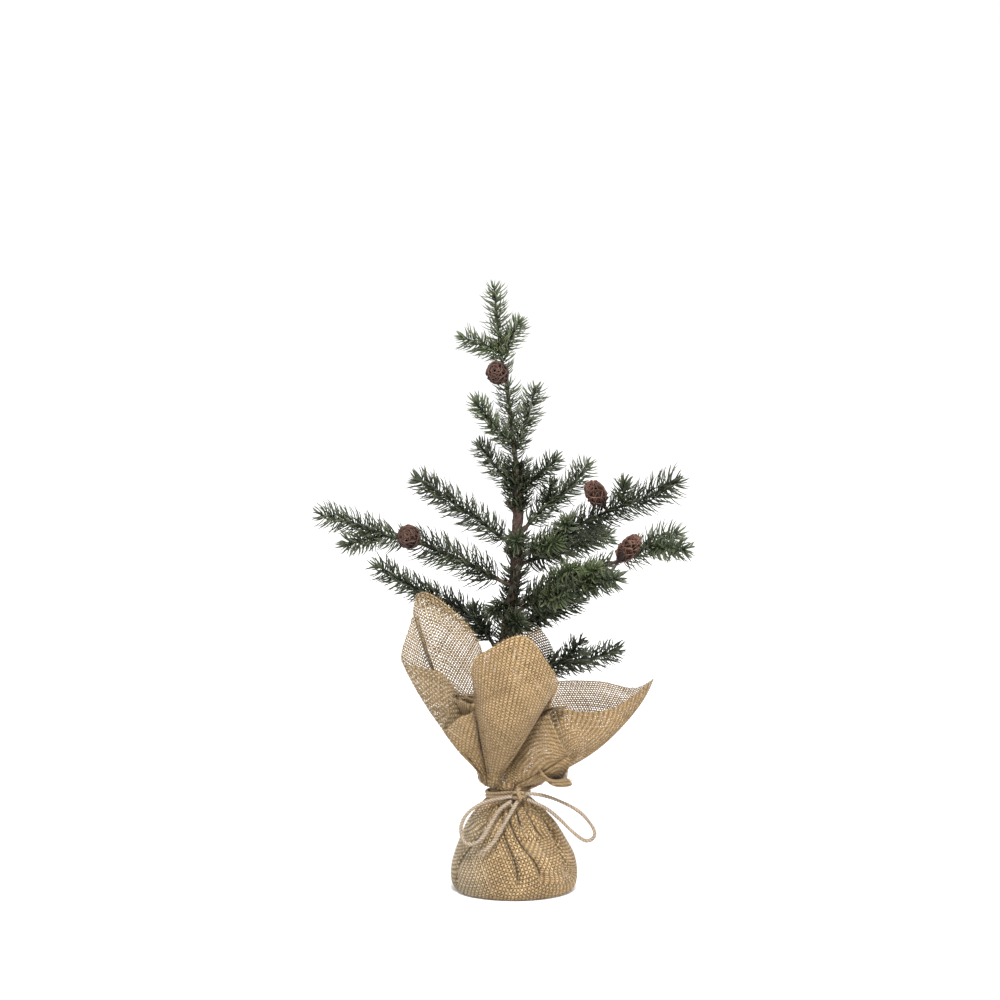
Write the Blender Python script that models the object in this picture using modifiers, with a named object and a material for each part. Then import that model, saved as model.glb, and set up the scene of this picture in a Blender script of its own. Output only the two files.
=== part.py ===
"""An artificial tabletop tree: a weighted pot wrapped in burlap, tied with twine, and a small conifer.

Frame: metres, +Z up. The origin is the centre of the burlap's flat underside. The front is -Y.
Every length below is written in millimetres and multiplied by MM where it is used.
"""
import math

import bmesh
import bpy
from mathutils import Matrix, Vector

MM = 0.001
GAP = 0.3                  # clearance between pieces that touch

# Base
POT_FOOT_RADIUS = 40.0
POT_RIM_RADIUS = 42.0
POT_BOTTOM = 1.6
POT_HEIGHT = 33.0
POT_WALL = 1.5
CEMENT_TOP = 31.0

# Burlap
CLOTH_THICKNESS = 1.1
CLOTH_AROUND = 54          # samples round the gathered cloth
CLOTH_UP = 6               # samples from the neck to the cloth's edge
NECK_CENTRE = (-4.0, 0.0)
NECK_HEIGHT = 82.0
NECK_TOP = 86.0             # above this the cloth flares out
NECK_RADIUS = 15.0
# Half profile of the pouch, from its flat underside to just below the neck: radius, height.
POUCH = [(46, 0), (50, 4), (51.5, 11), (51, 20), (48.5, 30), (44, 40), (36.5, 55), (27, 67), (18.5, 75.5), (15, 78)]
POUCH_CENTRE = (1.0, 0.0)
# The cloth's edge above the neck, going round from the left corner to the front, right and back:
# cloth angle in degrees, then the edge point x, y, z, then how far the ray bows outwards.
CLOTH_EDGE = [
    (180, -73.6, -2, 246, 6),
    (188, -83, -8, 219, 8),
    (196, -90, -17, 192, 8),
    (205, -73, -26, 187, 6),
    (213, -57, -29, 183, 2),
    (220, -46, -27, 165, -4),
    (227, -57, -35, 138, 4),
    (235, -43, -39, 149, 6),
    (243, -30, -42, 158, -2),
    (250, -33, -47, 193, 6),
    (259, -20, -55, 207, 16),
    (270, 8, -60, 220, 24),
    (282, 28, -54, 196, 18),
    (291, 36, -46, 178, 8),
    (300, 29, -40, 156, -3),
    (308, 38, -46, 131, 6),
    (316, 46, -42, 113, 8),
    (325, 38, -28, 103, 6),
    (335, 48, -20, 104, 8),
    (345, 70, -18, 150, 14),
    (353, 96, -12, 156, 14),
    (361, 114, -2, 174, 12),
    (369, 98, 5, 165, 10),
    (379, 70, 8, 170, 6),
    (390, 42, 10, 168, 2),
    (402, 31, 22, 146, -2),
    (420, 34, 47, 187, 4),
    (440, 14, 48, 213, 8),
    (460, -8, 45, 205, 8),
    (480, -26, 32, 168, 2),
    (500, -29, 14, 172, 0),
    (515, -25, 4, 196, 2),
    (528, -42, -1, 224, 4),
]

# Twine
TWINE = 3.0
BAND_RADIUS = 17.6
BAND_HEIGHT = 6.4
KNOT_CENTRE = (5.0, -21.6, 82.5)
KNOT_SIZE = (9.5, 6.0, 7.0)
LEFT_LOOP = [
    (-0.6, -22.5, 81), (-9, -22, 79.5), (-23, -23, 76.5), (-34.5, -25, 70), (-40.5, -27, 62), (-42, -31, 54),
    (-39, -36, 46.5), (-32.5, -39.5, 45.5), (-25.5, -41, 50), (-21, -40, 56), (-17, -37, 63), (-10.5, -30, 72),
    (-1.5, -24.8, 77.6),
]
RIGHT_LOOP = [
    (10.6, -23, 83.5), (18, -24, 83.5), (28, -25, 81.5), (40, -26, 77), (53, -27, 70), (62, -27.5, 60.5),
    (66, -28, 52.5), (63.5, -28, 47), (57, -28, 46.5), (48, -28.5, 53.5), (38.5, -29, 63), (28.5, -28.5, 71.5),
    (19, -27, 76.5), (11.5, -26, 79.5),
]
TAIL = [(3.5, -26.6, 77.8), (-1, -32, 71), (-6.5, -38, 62.5), (-11.5, -42.5, 54.5), (-17, -46, 47),
        (-23.5, -47, 41)]

# Trunk
TRUNK = [(0, 0, 8), (0, 0, 60), (-3, 0, 120), (-5.5, 0, 200), (-3, 0, 232), (1, 0, 250), (4, 0, 311), (3, 0, 346)]
CORE_RADIUS = 2.0
BARK_FOOT_RADIUS = 5.4
BARK_TOP_RADIUS = 4.3
BARK_FOOT = CEMENT_TOP + GAP
WIRE_RADIUS = 0.9
BEAD_RADIUS = 1.8          # taped end of a branch wire, where it hinges off the trunk
STEP = 13.0                # spacing of the stations along every stem

# Sprigs: thin crossed fins in the outline of the needles
FIN = 0.6
SLEEVE_RADIUS = 1.9
SLEEVE_BORE = 1.45
PRONG_RADIUS = 1.1

# Each branch: its route from the trunk, the hinge's free range down and up in degrees, and its sprigs.
# A sprig is (name, start and end along the route in mm, widest needle reach). Last is where the wire ends.
BRANCHES = {
    "left_upper": ([(-3.8, 2, 285), (-25, 10, 300), (-51, 18, 317), (-82, 30, 335.5), (-88, 32, 339)], (-15, 25),
                   [("sprig_left_upper", 9, 99, 10)], 60),
    "left_middle": ([(-5.6, -1.5, 252), (-35, -7, 268.5), (-61, -13, 281.5), (-84, -18, 291), (-100, -22, 294),
                     (-125, -26, 304), (-147, -29, 311), (-163, -31, 314.5)], (-15, 20),
                    [("sprig_left_middle_inner", 12, 76, 9), ("sprig_left_middle_tip", 97, 171, 10)], 103),
    "left_lower": ([(-11.8, 5, 191), (-18, 13, 203), (-34, 28, 220), (-55, 42, 230), (-86, 58, 241.5),
                    (-109, 68, 253.5), (-120, 72, 256)], (-6, 15),
                   [("sprig_left_lower_inner", 22, 84, 8), ("sprig_left_lower_tip", 85, 146, 9)], 110),
    "right_top": ([(9.6, 2.6, 296.5), (24, 8, 311.5), (44, 15, 326), (58, 20, 343), (62, 22, 351)], (-15, 15),
                  [("sprig_right_top", 9, 82, 8)], 20),
    "right_upper": ([(8.8, -0.5, 275), (33, -2, 289.5), (51.5, -4, 299.5), (79.5, -6, 313), (107, -8, 323.5),
                     (121, -9, 331), (141, -10, 340.5)], (-10, 20),
                    [("sprig_right_upper_inner", 10, 33, 6), ("sprig_right_upper_tip", 45, 144, 9)], 80),
    "right_inner": ([(7.2, 4.6, 267.5), (20, 15, 270), (47, 38, 276), (68, 54, 279), (86, 66, 282)], (-10, 15),
                    [("sprig_right_inner", 10, 99, 8)], 55),
    "right_middle": ([(5.6, -3, 236.5), (28, -13, 251), (52, -23, 262.5), (70, -31, 270), (99, -44, 284),
                      (113, -50, 294), (144, -64, 308)], (-10, 15),
                     [("sprig_right_middle_inner", 11, 76, 7), ("sprig_right_middle_tip", 111, 160, 10)], 117),
    "right_front": ([(3.1, -4.8, 229), (18, -17, 241), (38, -34, 250.5), (67, -60, 262.5), (77, -69, 266.5),
                     (95, -85, 275)], (-10, 10),
                    [("sprig_right_front_inner", 20, 50, 5), ("sprig_right_front_tip", 51, 120, 8)], 66),
    "right_lower": ([(1.4, 1.6, 215), (16, 4.5, 222), (31, 7.5, 227), (45, 10, 232.5), (57, 12, 239)], (-10, 15),
                    [("sprig_right_lower", 9, 61, 8)], 35),
    "right_bottom": ([(3, 3, 163.5), (17, 12, 174), (35, 24, 181), (58, 36, 182.5), (76, 44, 186), (94, 51, 192)],
                     (-4, 15), [("sprig_right_bottom", 17, 105, 9)], 40),
}
LEADER = [(2.8, 0, 350), (0.5, 0, 362), (-3.2, 0, 399), (-5.5, 0, 414), (-9.8, 0, 441), (-15.5, 0, 492)]
LEADER_SPRIGS = [("sprig_leader_lower", 28, 62, 8), ("sprig_leader_tip", 78, 150, 9)]
LEADER_WIRE = 84

# Prongs moulded on to a sprig: host sprig, start, end, widest needle reach.
PRONGS = [
    ("sprig_left_middle_tip", (-104, -22.7, 295.5), (-138, -42, 289.5), 8),
    ("sprig_right_top", (27, 9.2, 314), (31, 3, 335), 7),
    ("sprig_right_upper_tip", (88, -6.6, 316.3), (90, 4, 338), 7),
    ("sprig_right_middle_tip", (106, -47, 289), (141, -80, 293), 8),
    ("sprig_right_front_tip", (55, -49, 257.5), (62, -72, 283), 8),
    ("sprig_right_bottom", (40, 26.6, 181.5), (56, 22, 203), 8),
    ("sprig_leader_tip", (-9.5, 0, 439), (-44, -8, 455), 9),
    ("sprig_leader_tip", (-9.2, 0, 437), (6, 6, 471), 9),
]
# Short sprigs that stand on a stem of their own: name, body, start, end, widest needle reach.
SHORT_SPRIGS = [
    ("sprig_leader_left", "leader", (-5.4, -1.4, 370), (-32, -12, 404.5), 7),
    ("sprig_leader_right", "leader", (4.0, 2.4, 365), (19, 10, 414), 7),
    ("sprig_trunk_left", "base", (-2.8, 3, 336), (-29, 10, 367), 7),
    ("sprig_trunk_right", "base", (10.2, -1.8, 334.5), (37, -10, 358), 7),
    ("sprig_trunk_front_upper", "base", (3.4, -5.2, 288), (2.5, -21, 291), 8),
    ("sprig_trunk_front_lower", "base", (-6.2, -4.4, 236), (-19, -19, 232), 8),
    ("sprig_trunk_front_dark", "base", (-2.2, -6, 221), (6, -22, 226), 7),
    ("sprig_left_lower_side", "left_lower", (-20, 9.6, 207.6), (-33, 6, 234), 7),
    ("sprig_right_upper_front", "right_upper", (41.5, -6, 294.8), (43, -22, 308), 7),
]
COLLAR_FINS = 8
COLLAR = (308, 340, 9)     # the needles round the top of the trunk: low, high, widest reach

# Cones: name, body, centre, the direction that the tip points, and the length of the stalk to the wire.
CONE_LENGTH = 20.0
CONE_RADIUS = 9.2
CONE_ROWS = 4
STALK_RADIUS = 0.9
CONES = [
    ("cone_leader", "leader", (-10, -13.5, 425), (-0.25, -0.9, 0.3), 2),
    ("cone_left_middle", "left_middle", (-83, -30, 294.5), (-0.15, -0.9, 0.35), 2),
    ("cone_right_upper", "right_upper", (67.5, -14, 329), (-0.45, -0.45, 0.78), 8),
    ("cone_right_middle", "right_middle", (87.5, -53.5, 289.5), (0.36, -0.70, 0.62), 8),
]

PARTS = bpy.data.collections.new("tabletop_tree")
CUTTERS = bpy.data.collections.new("cutters")


def clear_scene():
    """Removes what the startup file holds and links the two collections."""
    for obj in list(bpy.data.objects):
        bpy.data.objects.remove(obj, do_unlink=True)
    bpy.context.scene.collection.children.link(PARTS)
    bpy.context.scene.collection.children.link(CUTTERS)
    CUTTERS.hide_render = True


def material(name, colour, roughness, metallic=0.0):
    """A Principled material, made once for each name."""
    found = bpy.data.materials.get(name)
    if found:
        return found
    made = bpy.data.materials.new(name)
    made.use_nodes = True
    shader = made.node_tree.nodes["Principled BSDF"]
    shader.inputs["Base Color"].default_value = (*colour, 1)
    shader.inputs["Roughness"].default_value = roughness
    shader.inputs["Metallic"].default_value = metallic
    return made


def burlap():
    return material("burlap", (0.50, 0.36, 0.20), 0.9)


def twine():
    return material("twine", (0.62, 0.48, 0.31), 0.85)


def needle():
    return material("needle", (0.045, 0.085, 0.04), 0.5)


def bark():
    return material("bark", (0.16, 0.09, 0.06), 0.85)


def wire():
    return material("wire_wrap", (0.10, 0.07, 0.045), 0.7)


def steel():
    return material("steel", (0.42, 0.42, 0.43), 0.4, 1.0)


def cement():
    return material("cement", (0.55, 0.54, 0.52), 0.9)


def plastic():
    return material("pot_plastic", (0.03, 0.03, 0.03), 0.5)


def cone_scale():
    return material("cone_scale", (0.17, 0.07, 0.035), 0.75)


def add_mesh(name, bm, finish, collection=PARTS, origin=(0, 0, 0)):
    """Makes an object from a bmesh in world millimetres, with its origin at the given point."""
    centre = Vector(origin) * MM
    bmesh.ops.scale(bm, vec=(MM, MM, MM), verts=bm.verts)
    bmesh.ops.translate(bm, vec=-centre, verts=bm.verts)
    bmesh.ops.recalc_face_normals(bm, faces=bm.faces)
    if bm.calc_volume(signed=True) < 0:
        bmesh.ops.reverse_faces(bm, faces=bm.faces)
    mesh = bpy.data.meshes.new(name)
    bm.to_mesh(mesh)
    bm.free()
    obj = bpy.data.objects.new(name, mesh)
    obj.location = centre
    mesh.materials.append(finish)
    collection.objects.link(obj)
    return obj


def turned(name, profile, finish, steps, centre=(0, 0, 0)):
    """A profile of (radius, height), running down its outer side, turned about +Z through centre."""
    mesh = bpy.data.meshes.new(name)
    points = [Vector((radius, 0, height)) * MM for radius, height in profile]
    closed_ring = all(radius > 0 for radius, _ in profile)
    count = len(points)
    edges = [(i, (i + 1) % count) for i in range(count if closed_ring else count - 1)]
    mesh.from_pydata(points, edges, [])
    obj = bpy.data.objects.new(name, mesh)
    obj.location = Vector(centre) * MM
    mesh.materials.append(finish)
    PARTS.objects.link(obj)
    screw = obj.modifiers.new("turn", "SCREW")
    screw.steps = steps
    screw.render_steps = steps
    screw.use_merge_vertices = True
    screw.merge_threshold = 0.00001
    screw.use_smooth_shade = False
    return obj


def on_spline(points, at):
    """The Catmull-Rom point at parameter at, counted in control points."""
    count = len(points)
    i = min(max(int(at), 0), count - 2)
    t = at - i
    before, start = points[max(i - 1, 0)], points[i]
    end, after = points[i + 1], points[min(i + 2, count - 1)]
    return 0.5 * (2 * start + (end - before) * t + (2 * before - 5 * start + 4 * end - after) * t ** 2
                  + (3 * start - before - 3 * end + after) * t ** 3)


def smooth_route(points, step):
    """Points a nearly even step apart along a smooth curve through the given points."""
    vectors = [Vector(p) for p in points]
    fine = [on_spline(vectors, k / 12) for k in range(12 * (len(vectors) - 1) + 1)]
    lengths = [0.0]
    for a, b in zip(fine, fine[1:]):
        lengths.append(lengths[-1] + (b - a).length)
    count = max(2, round(lengths[-1] / step))
    return [along(fine, lengths, lengths[-1] * k / count) for k in range(count + 1)]


def along(points, lengths, distance):
    """The point at a distance along a polyline."""
    i = 0
    while i < len(points) - 2 and lengths[i + 1] < distance:
        i += 1
    span = lengths[i + 1] - lengths[i]
    return points[i].lerp(points[i + 1], (distance - lengths[i]) / span)


def tube(name, points, radii, finish, sides=2):
    """A tube along a POLY spline, with filled caps. Points are in millimetres."""
    curve = bpy.data.curves.new(name, "CURVE")
    curve.dimensions = "3D"
    curve.bevel_depth = MM
    curve.bevel_resolution = sides
    curve.use_fill_caps = True
    curve.resolution_u = 1
    spline = curve.splines.new("POLY")
    spline.points.add(len(points) - 1)
    origin = Vector(points[0])
    for slot, point, radius in zip(spline.points, points, radii):
        slot.co = (*((Vector(point) - origin) * MM), 1)
        slot.radius = radius
    obj = bpy.data.objects.new(name, curve)
    obj.location = origin * MM
    curve.materials.append(finish)
    PARTS.objects.link(obj)
    return obj


def frames_along(points):
    """A (side, up) pair of unit vectors square to the path at each point, turning as little as they can."""
    found = []
    side = None
    for i in range(len(points)):
        ahead = points[min(i + 1, len(points) - 1)] - points[max(i - 1, 0)]
        ahead.normalize()
        if side is None:
            side = ahead.cross(Vector((0, 0, 1)) if abs(ahead.z) < 0.9 else Vector((0, 1, 0)))
        side = (side - ahead * side.dot(ahead)).normalized()
        found.append((side, ahead.cross(side)))
    return found


def finned_ring(bm, point, frame, reach, core, fins, fin=FIN):
    """One cross-section of a sprig: fins that stand out from a round core."""
    side, up = frame
    ring = []
    for k in range(fins):
        angle = 2 * math.pi * (k + 0.5) / fins
        out = side * math.cos(angle) + up * math.sin(angle)
        across = side * -math.sin(angle) + up * math.cos(angle)
        for far, lateral in ((core, -1), (reach, -1), (reach, 1), (core, 1)):
            ring.append(bm.verts.new(point + out * far + across * lateral * fin / 2))
    return ring


def bore_ring(bm, point, frame, radius, fins):
    """The matching ring of the sprig's bore, with two points to each fin."""
    side, up = frame
    ring = []
    for k in range(fins):
        for turn in (0.25, 0.75):
            angle = 2 * math.pi * (k + turn) / fins
            ring.append(bm.verts.new(point + (side * math.cos(angle) + up * math.sin(angle)) * radius))
    return ring


def skin(bm, rings):
    """Quads between each pair of neighbouring rings."""
    for low, high in zip(rings, rings[1:]):
        count = len(low)
        for i in range(count):
            bm.faces.new((low[i], low[(i + 1) % count], high[(i + 1) % count], high[i]))


def annulus(bm, outer, inner, fins):
    """Faces from the finned outline to the bore at one end of a sprig."""
    for k in range(fins):
        fin = outer[4 * k:4 * k + 4]
        bm.faces.new([inner[2 * k], *fin, inner[2 * k + 1]])
        following = 4 * ((k + 1) % fins)
        bm.faces.new([inner[2 * k + 1], fin[3], outer[following], inner[2 * ((k + 1) % fins)]])


def needle_reach(share, widest, core):
    """How far the needles stand out at a share of the way along a sprig: short at both ends."""
    swell = min(1.0, 0.45 + share * 2.2) * min(1.0, 0.18 + (1 - share) * 2.6)
    return max(core + 0.5, widest * swell)


def sprig(name, points, widest, finish, bored=0, fins=4, collection=PARTS):
    """A moulded sprig along its stations. The first bored stations hold its branch wire."""
    bm = bmesh.new()
    frames = frames_along(points)
    core = SLEEVE_RADIUS if bored else PRONG_RADIUS
    last = len(points) - 1
    outer = []
    for i, point in enumerate(points):
        reach = needle_reach(i / last, widest, core)
        slim = core if i < last else core * 0.6
        outer.append(finned_ring(bm, point, frames[i], reach, slim, fins))
    skin(bm, outer)
    if bored:
        inner = [bore_ring(bm, points[i], frames[i], SLEEVE_BORE, fins) for i in range(bored)]
        skin(bm, inner)
        annulus(bm, outer[0], inner[0], fins)
        if bored == len(points):
            annulus(bm, outer[-1], inner[-1], fins)
        else:
            bm.faces.new(inner[-1])
            bm.faces.new(outer[-1])
    else:
        bm.faces.new(outer[0])
        bm.faces.new(outer[-1])
    return add_mesh(name, bm, finish, collection, points[0])


def join_prong(host, start, end, widest, number):
    """Moulds a side prong on to a sprig with a union."""
    points = smooth_route([start, end], 11)
    prong = sprig(f"{host.name}_prong_{number}", points, widest, needle(), fins=3, collection=CUTTERS)
    prong.hide_render = True
    prong.display_type = "WIRE"
    union = host.modifiers.new(f"prong_{number}", "BOOLEAN")
    union.operation = "UNION"
    union.object = prong
    union.solver = "EXACT"


def branch_wire(name, points):
    """A bendable wire with a taped bead round its hinge point, which is the object's origin."""
    start = points[0]
    ahead = (points[1] - start).normalized()
    bead = [(-1.0, 0.25), (-0.7, 0.71), (0.0, 1.0), (0.7, 0.71)]
    route = [start + ahead * BEAD_RADIUS * share for share, _ in bead] + points[1:]
    radii = [BEAD_RADIUS * thick for _, thick in bead] + [WIRE_RADIUS] * (len(points) - 1)
    obj = tube(name, route, radii, wire())
    obj.data.transform(Matrix.Translation(-ahead * BEAD_RADIUS * MM))
    obj.location = start * MM


def distances(low, high, step=STEP):
    """Even distances from low to high, about a step apart."""
    count = max(1, round((high - low) / step))
    return [low + (high - low) * k / count for k in range(count + 1)]


def route_points(route, wanted):
    """The points at the wanted distances along a smooth curve through the route."""
    fine = smooth_route(route, 1)
    lengths = [0.0]
    for a, b in zip(fine, fine[1:]):
        lengths.append(lengths[-1] + (b - a).length)
    return [along(fine, lengths, distance) for distance in wanted]


def branch(name, route, sprigs, wire_end):
    """One bendable branch: its wire and the sprigs on it. The last sprig closes over the wire's end."""
    branch_wire(f"wire_{name}", route_points(route, distances(0, wire_end)))
    for label, low, high, widest in sprigs:
        in_bore = distances(low, min(high, wire_end + 2 * GAP))
        beyond = distances(in_bore[-1], high)[1:] if high > wire_end else []
        points = route_points(route, in_bore + beyond)
        sprig(label, points, widest, needle(), bored=len(in_bore))


def trunk():
    """The steel core, cast into the cement, and the bark sleeve round it."""
    points = smooth_route(TRUNK, 2 * STEP)
    tube("trunk_core", points, [CORE_RADIUS] * len(points), steel())
    bm = bmesh.new()
    sleeve = [p for p in points if p.z > BARK_FOOT + 4]
    sleeve.insert(0, Vector((0, 0, BARK_FOOT)))
    frames = frames_along(sleeve)
    top = sleeve[-1].z
    outer, inner = [], []
    for i, point in enumerate(sleeve):
        share = (point.z - BARK_FOOT) / (top - BARK_FOOT)
        radius = BARK_FOOT_RADIUS + (BARK_TOP_RADIUS - BARK_FOOT_RADIUS) * share
        outer.append(round_ring(bm, point, frames[i], radius, 10))
        inner.append(round_ring(bm, point, frames[i], CORE_RADIUS + 0.5, 10))
    skin(bm, outer)
    skin(bm, inner)
    skin(bm, [outer[0], inner[0]])
    skin(bm, [outer[-1], inner[-1]])
    add_mesh("trunk_bark", bm, bark())


def round_ring(bm, point, frame, radius, sides):
    """A round cross-section."""
    side, up = frame
    angles = [2 * math.pi * k / sides for k in range(sides)]
    return [bm.verts.new(point + (side * math.cos(a) + up * math.sin(a)) * radius) for a in angles]


def collar():
    """The needles round the top of the trunk, on a sleeve over the bark."""
    low, high, widest = COLLAR
    points = [p for p in smooth_route(TRUNK, STEP) if low - 4 < p.z < high + 4]
    frames = frames_along(points)
    bm = bmesh.new()
    outer, inner = [], []
    last = len(points) - 1
    for i, point in enumerate(points):
        reach = widest + 2 if 0 < i < last else widest - 2
        outer.append(finned_ring(bm, point, frames[i], reach, BARK_TOP_RADIUS + 2, COLLAR_FINS))
        inner.append(bore_ring(bm, point, frames[i], BARK_TOP_RADIUS + 0.8, COLLAR_FINS))
    skin(bm, outer)
    skin(bm, inner)
    annulus(bm, outer[0], inner[0], COLLAR_FINS)
    annulus(bm, outer[-1], inner[-1], COLLAR_FINS)
    add_mesh("sprig_trunk_collar", bm, needle())


def pot_and_cement():
    """A thin tapered pot, and the cement cast in it round the trunk's core."""
    floor = POT_BOTTOM + POT_WALL
    rim = POT_BOTTOM + POT_HEIGHT
    turned("pot", [(0, floor), (POT_FOOT_RADIUS - POT_WALL, floor), (POT_RIM_RADIUS - POT_WALL, rim),
                   (POT_RIM_RADIUS, rim), (POT_FOOT_RADIUS, POT_BOTTOM), (0, POT_BOTTOM)], plastic(), 32)
    low = floor + GAP
    bore = CORE_RADIUS + GAP
    bore_foot = TRUNK[0][2] - GAP
    turned("cement_weight", [(0, bore_foot), (bore, bore_foot), (bore, CEMENT_TOP),
                             (POT_RIM_RADIUS - POT_WALL - 0.9, CEMENT_TOP),
                             (POT_FOOT_RADIUS - POT_WALL - 0.6, low), (0, low)], cement(), 32)


def edge_ray(angle):
    """The cloth's edge point and bow at a cloth angle, on a closed smooth curve."""
    count = len(CLOTH_EDGE)
    angles = [row[0] for row in CLOTH_EDGE] + [CLOTH_EDGE[0][0] + 360]
    i = max(k for k in range(count) if angles[k] <= angle)
    rows = [Vector(CLOTH_EDGE[(i + k) % count][1:]) for k in (-1, 0, 1, 2)]
    found = on_spline(rows, 1 + (angle - angles[i]) / (angles[i + 1] - angles[i]))
    return Vector(found[:3]), found[3]


def cloth_point(angle, share):
    """A point of the gathered cloth above the neck: share 0 is the neck and 1 the edge."""
    turn = math.radians(angle)
    out = Vector((math.cos(turn), math.sin(turn), 0))
    neck = Vector((*NECK_CENTRE, NECK_TOP)) + out * NECK_RADIUS
    edge, bow = edge_ray(angle)
    bulge = 4 * share * (1 - share) * bow
    rise = Vector((0, 0, 1)) * 8 * share * (1 - share)
    return neck.lerp(edge, share) + out * bulge + rise


def burlap_wrap():
    """The burlap square as one gathered sheet, from its flat underside to its loose corners."""
    bm = bmesh.new()
    rings = []
    angles = [180 + 360 * k / CLOTH_AROUND for k in range(CLOTH_AROUND)]
    for radius, height in POUCH:
        lean = min(1.0, max(0.0, (height - 30) / (NECK_HEIGHT - 30)))
        x = POUCH_CENTRE[0] + (NECK_CENTRE[0] - POUCH_CENTRE[0]) * lean
        ring = []
        for angle in angles:
            turn = math.radians(angle)
            ring.append(bm.verts.new((x + radius * math.cos(turn), radius * math.sin(turn), height)))
        rings.append(ring)
    for k in range(CLOTH_UP + 1):
        rings.append([bm.verts.new(cloth_point(angle, k / CLOTH_UP)) for angle in angles])
    skin(bm, rings)
    bm.faces.new(rings[0])
    obj = add_mesh("burlap_wrap", bm, burlap())
    thick = obj.modifiers.new("thickness", "SOLIDIFY")
    thick.thickness = CLOTH_THICKNESS * MM
    thick.offset = -1
    return obj


def twine_pieces():
    """The band round the neck, the knot and the bow's free cords."""
    half = BAND_HEIGHT / 2
    inner = NECK_RADIUS + GAP + 0.4
    turned("twine_band", [(inner, half), (BAND_RADIUS, half), (BAND_RADIUS + 0.9, half / 2), (BAND_RADIUS + 0.4, 0),
                          (BAND_RADIUS + 0.9, -half / 2), (BAND_RADIUS, -half), (inner, -half)], twine(), 24,
           (*NECK_CENTRE, NECK_HEIGHT))
    bm = bmesh.new()
    bmesh.ops.create_uvsphere(bm, u_segments=12, v_segments=8, radius=0.5)
    bmesh.ops.scale(bm, vec=KNOT_SIZE, verts=bm.verts)
    bmesh.ops.translate(bm, vec=KNOT_CENTRE, verts=bm.verts)
    add_mesh("twine_knot", bm, twine(), origin=KNOT_CENTRE)
    for name, route in (("twine_loop_left", LEFT_LOOP), ("twine_loop_right", RIGHT_LOOP), ("twine_tail", TAIL)):
        points = smooth_route(route, 2.6 * TWINE / 1.2)
        tube(name, points, [TWINE / 2] * len(points), twine())


def cone(name, centre, direction, stalk):
    """A small open cone, as a stepped turned solid with rows of scales that overlap, on a stalk."""
    profile = [(0, CONE_LENGTH / 2)]
    for k in range(CONE_ROWS):
        share = (k + 0.5) / CONE_ROWS
        height = CONE_LENGTH * (0.5 - share)
        bulge = CONE_RADIUS * math.sin(math.pi * (0.16 + 0.72 * share)) ** 0.8
        profile.append((bulge * 0.72, height + 1.6))
        profile.append((bulge, height - 0.4))
        profile.append((bulge * 0.78, height - 1.5))
    foot = -CONE_LENGTH / 2
    profile += [(STALK_RADIUS, foot), (STALK_RADIUS, foot - stalk), (0, foot - stalk)]
    obj = turned(name, profile, cone_scale(), 12, centre)
    obj.rotation_mode = "QUATERNION"
    obj.rotation_quaternion = Vector(direction).to_track_quat("Z", "Y")


def main():
    clear_scene()
    pot_and_cement()
    trunk()
    burlap_wrap()
    twine_pieces()
    for name, (route, _, sprigs, wire_end) in BRANCHES.items():
        branch(name, route, sprigs, wire_end)
    branch("leader", LEADER, LEADER_SPRIGS, LEADER_WIRE)
    for name, _, start, end, widest in SHORT_SPRIGS:
        sprig(name, smooth_route([start, end], 12), widest, needle(), fins=3)
    collar()
    for number, (host, start, end, widest) in enumerate(PRONGS):
        join_prong(PARTS.objects[host], start, end, widest, number)
    for name, _, centre, direction, stalk in CONES:
        cone(name, centre, direction, stalk)


main()
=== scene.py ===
"""The artificial tabletop tree: woven burlap, twine, needles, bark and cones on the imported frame.

Lengths in the tables are in millimetres and become metres where a mesh is made. +Z is up and -Y is the front.
"""
import math

import bpy
import numpy as np
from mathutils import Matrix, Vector, noise


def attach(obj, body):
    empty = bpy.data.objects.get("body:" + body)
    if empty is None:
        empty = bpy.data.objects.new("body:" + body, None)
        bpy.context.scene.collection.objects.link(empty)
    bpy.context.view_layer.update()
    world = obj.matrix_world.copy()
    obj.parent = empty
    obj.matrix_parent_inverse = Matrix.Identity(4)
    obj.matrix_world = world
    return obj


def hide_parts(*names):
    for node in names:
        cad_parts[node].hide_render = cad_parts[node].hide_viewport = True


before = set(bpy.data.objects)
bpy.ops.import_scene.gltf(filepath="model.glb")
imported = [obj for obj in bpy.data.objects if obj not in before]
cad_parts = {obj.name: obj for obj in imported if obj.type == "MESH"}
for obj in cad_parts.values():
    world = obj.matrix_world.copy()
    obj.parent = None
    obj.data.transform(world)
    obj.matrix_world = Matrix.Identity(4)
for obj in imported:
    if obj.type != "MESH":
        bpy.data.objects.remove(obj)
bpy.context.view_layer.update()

MM = 0.001
GOLDEN = math.radians(137.508)

# Burlap
HALF_CLOTH = 220.0         # half the side of the square that the burlap was cut to
PITCH = 2.15               # spacing of its yarns
YARN = 1.20                # width of a yarn
NECK_CENTRE = (-4.0, 0.0)
NECK_LOW, NECK_HIGH = 78.0, 86.0
NECK_RADIUS = 15.0
POUCH = [(46, 0), (50, 4), (51.5, 11), (51, 20), (48.5, 30), (44, 40), (36.5, 55), (27, 67), (18.5, 75.5), (15, 78)]
POUCH_CENTRE = 1.0
# Pleats of the pouch: angle at its foot and at the neck in degrees, the height where it opens, its share.
POUCH_PLEATS = [
    (184, 190, 52, 0.6), (202, 232, 3, 1.7), (250, 246, 56, 0.4), (273, 257, 10, 1.1), (295, 268, 12, 1.2),
    (304, 284, 52, 0.6), (315, 305, 46, 0.6), (326, 331, 14, 1.1), (352, 352, 54, 0.6), (372, 370, 6, 1.2),
    (392, 390, 48, 0.6), (410, 412, 10, 1.1), (430, 430, 50, 0.6), (448, 446, 5, 1.2), (468, 466, 52, 0.6),
    (486, 484, 12, 1.1), (504, 503, 50, 0.6), (524, 520, 7, 1.2),
]
POUCH_ANCHOR = 248.0       # where the yarns of the pouch run straight up
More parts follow.
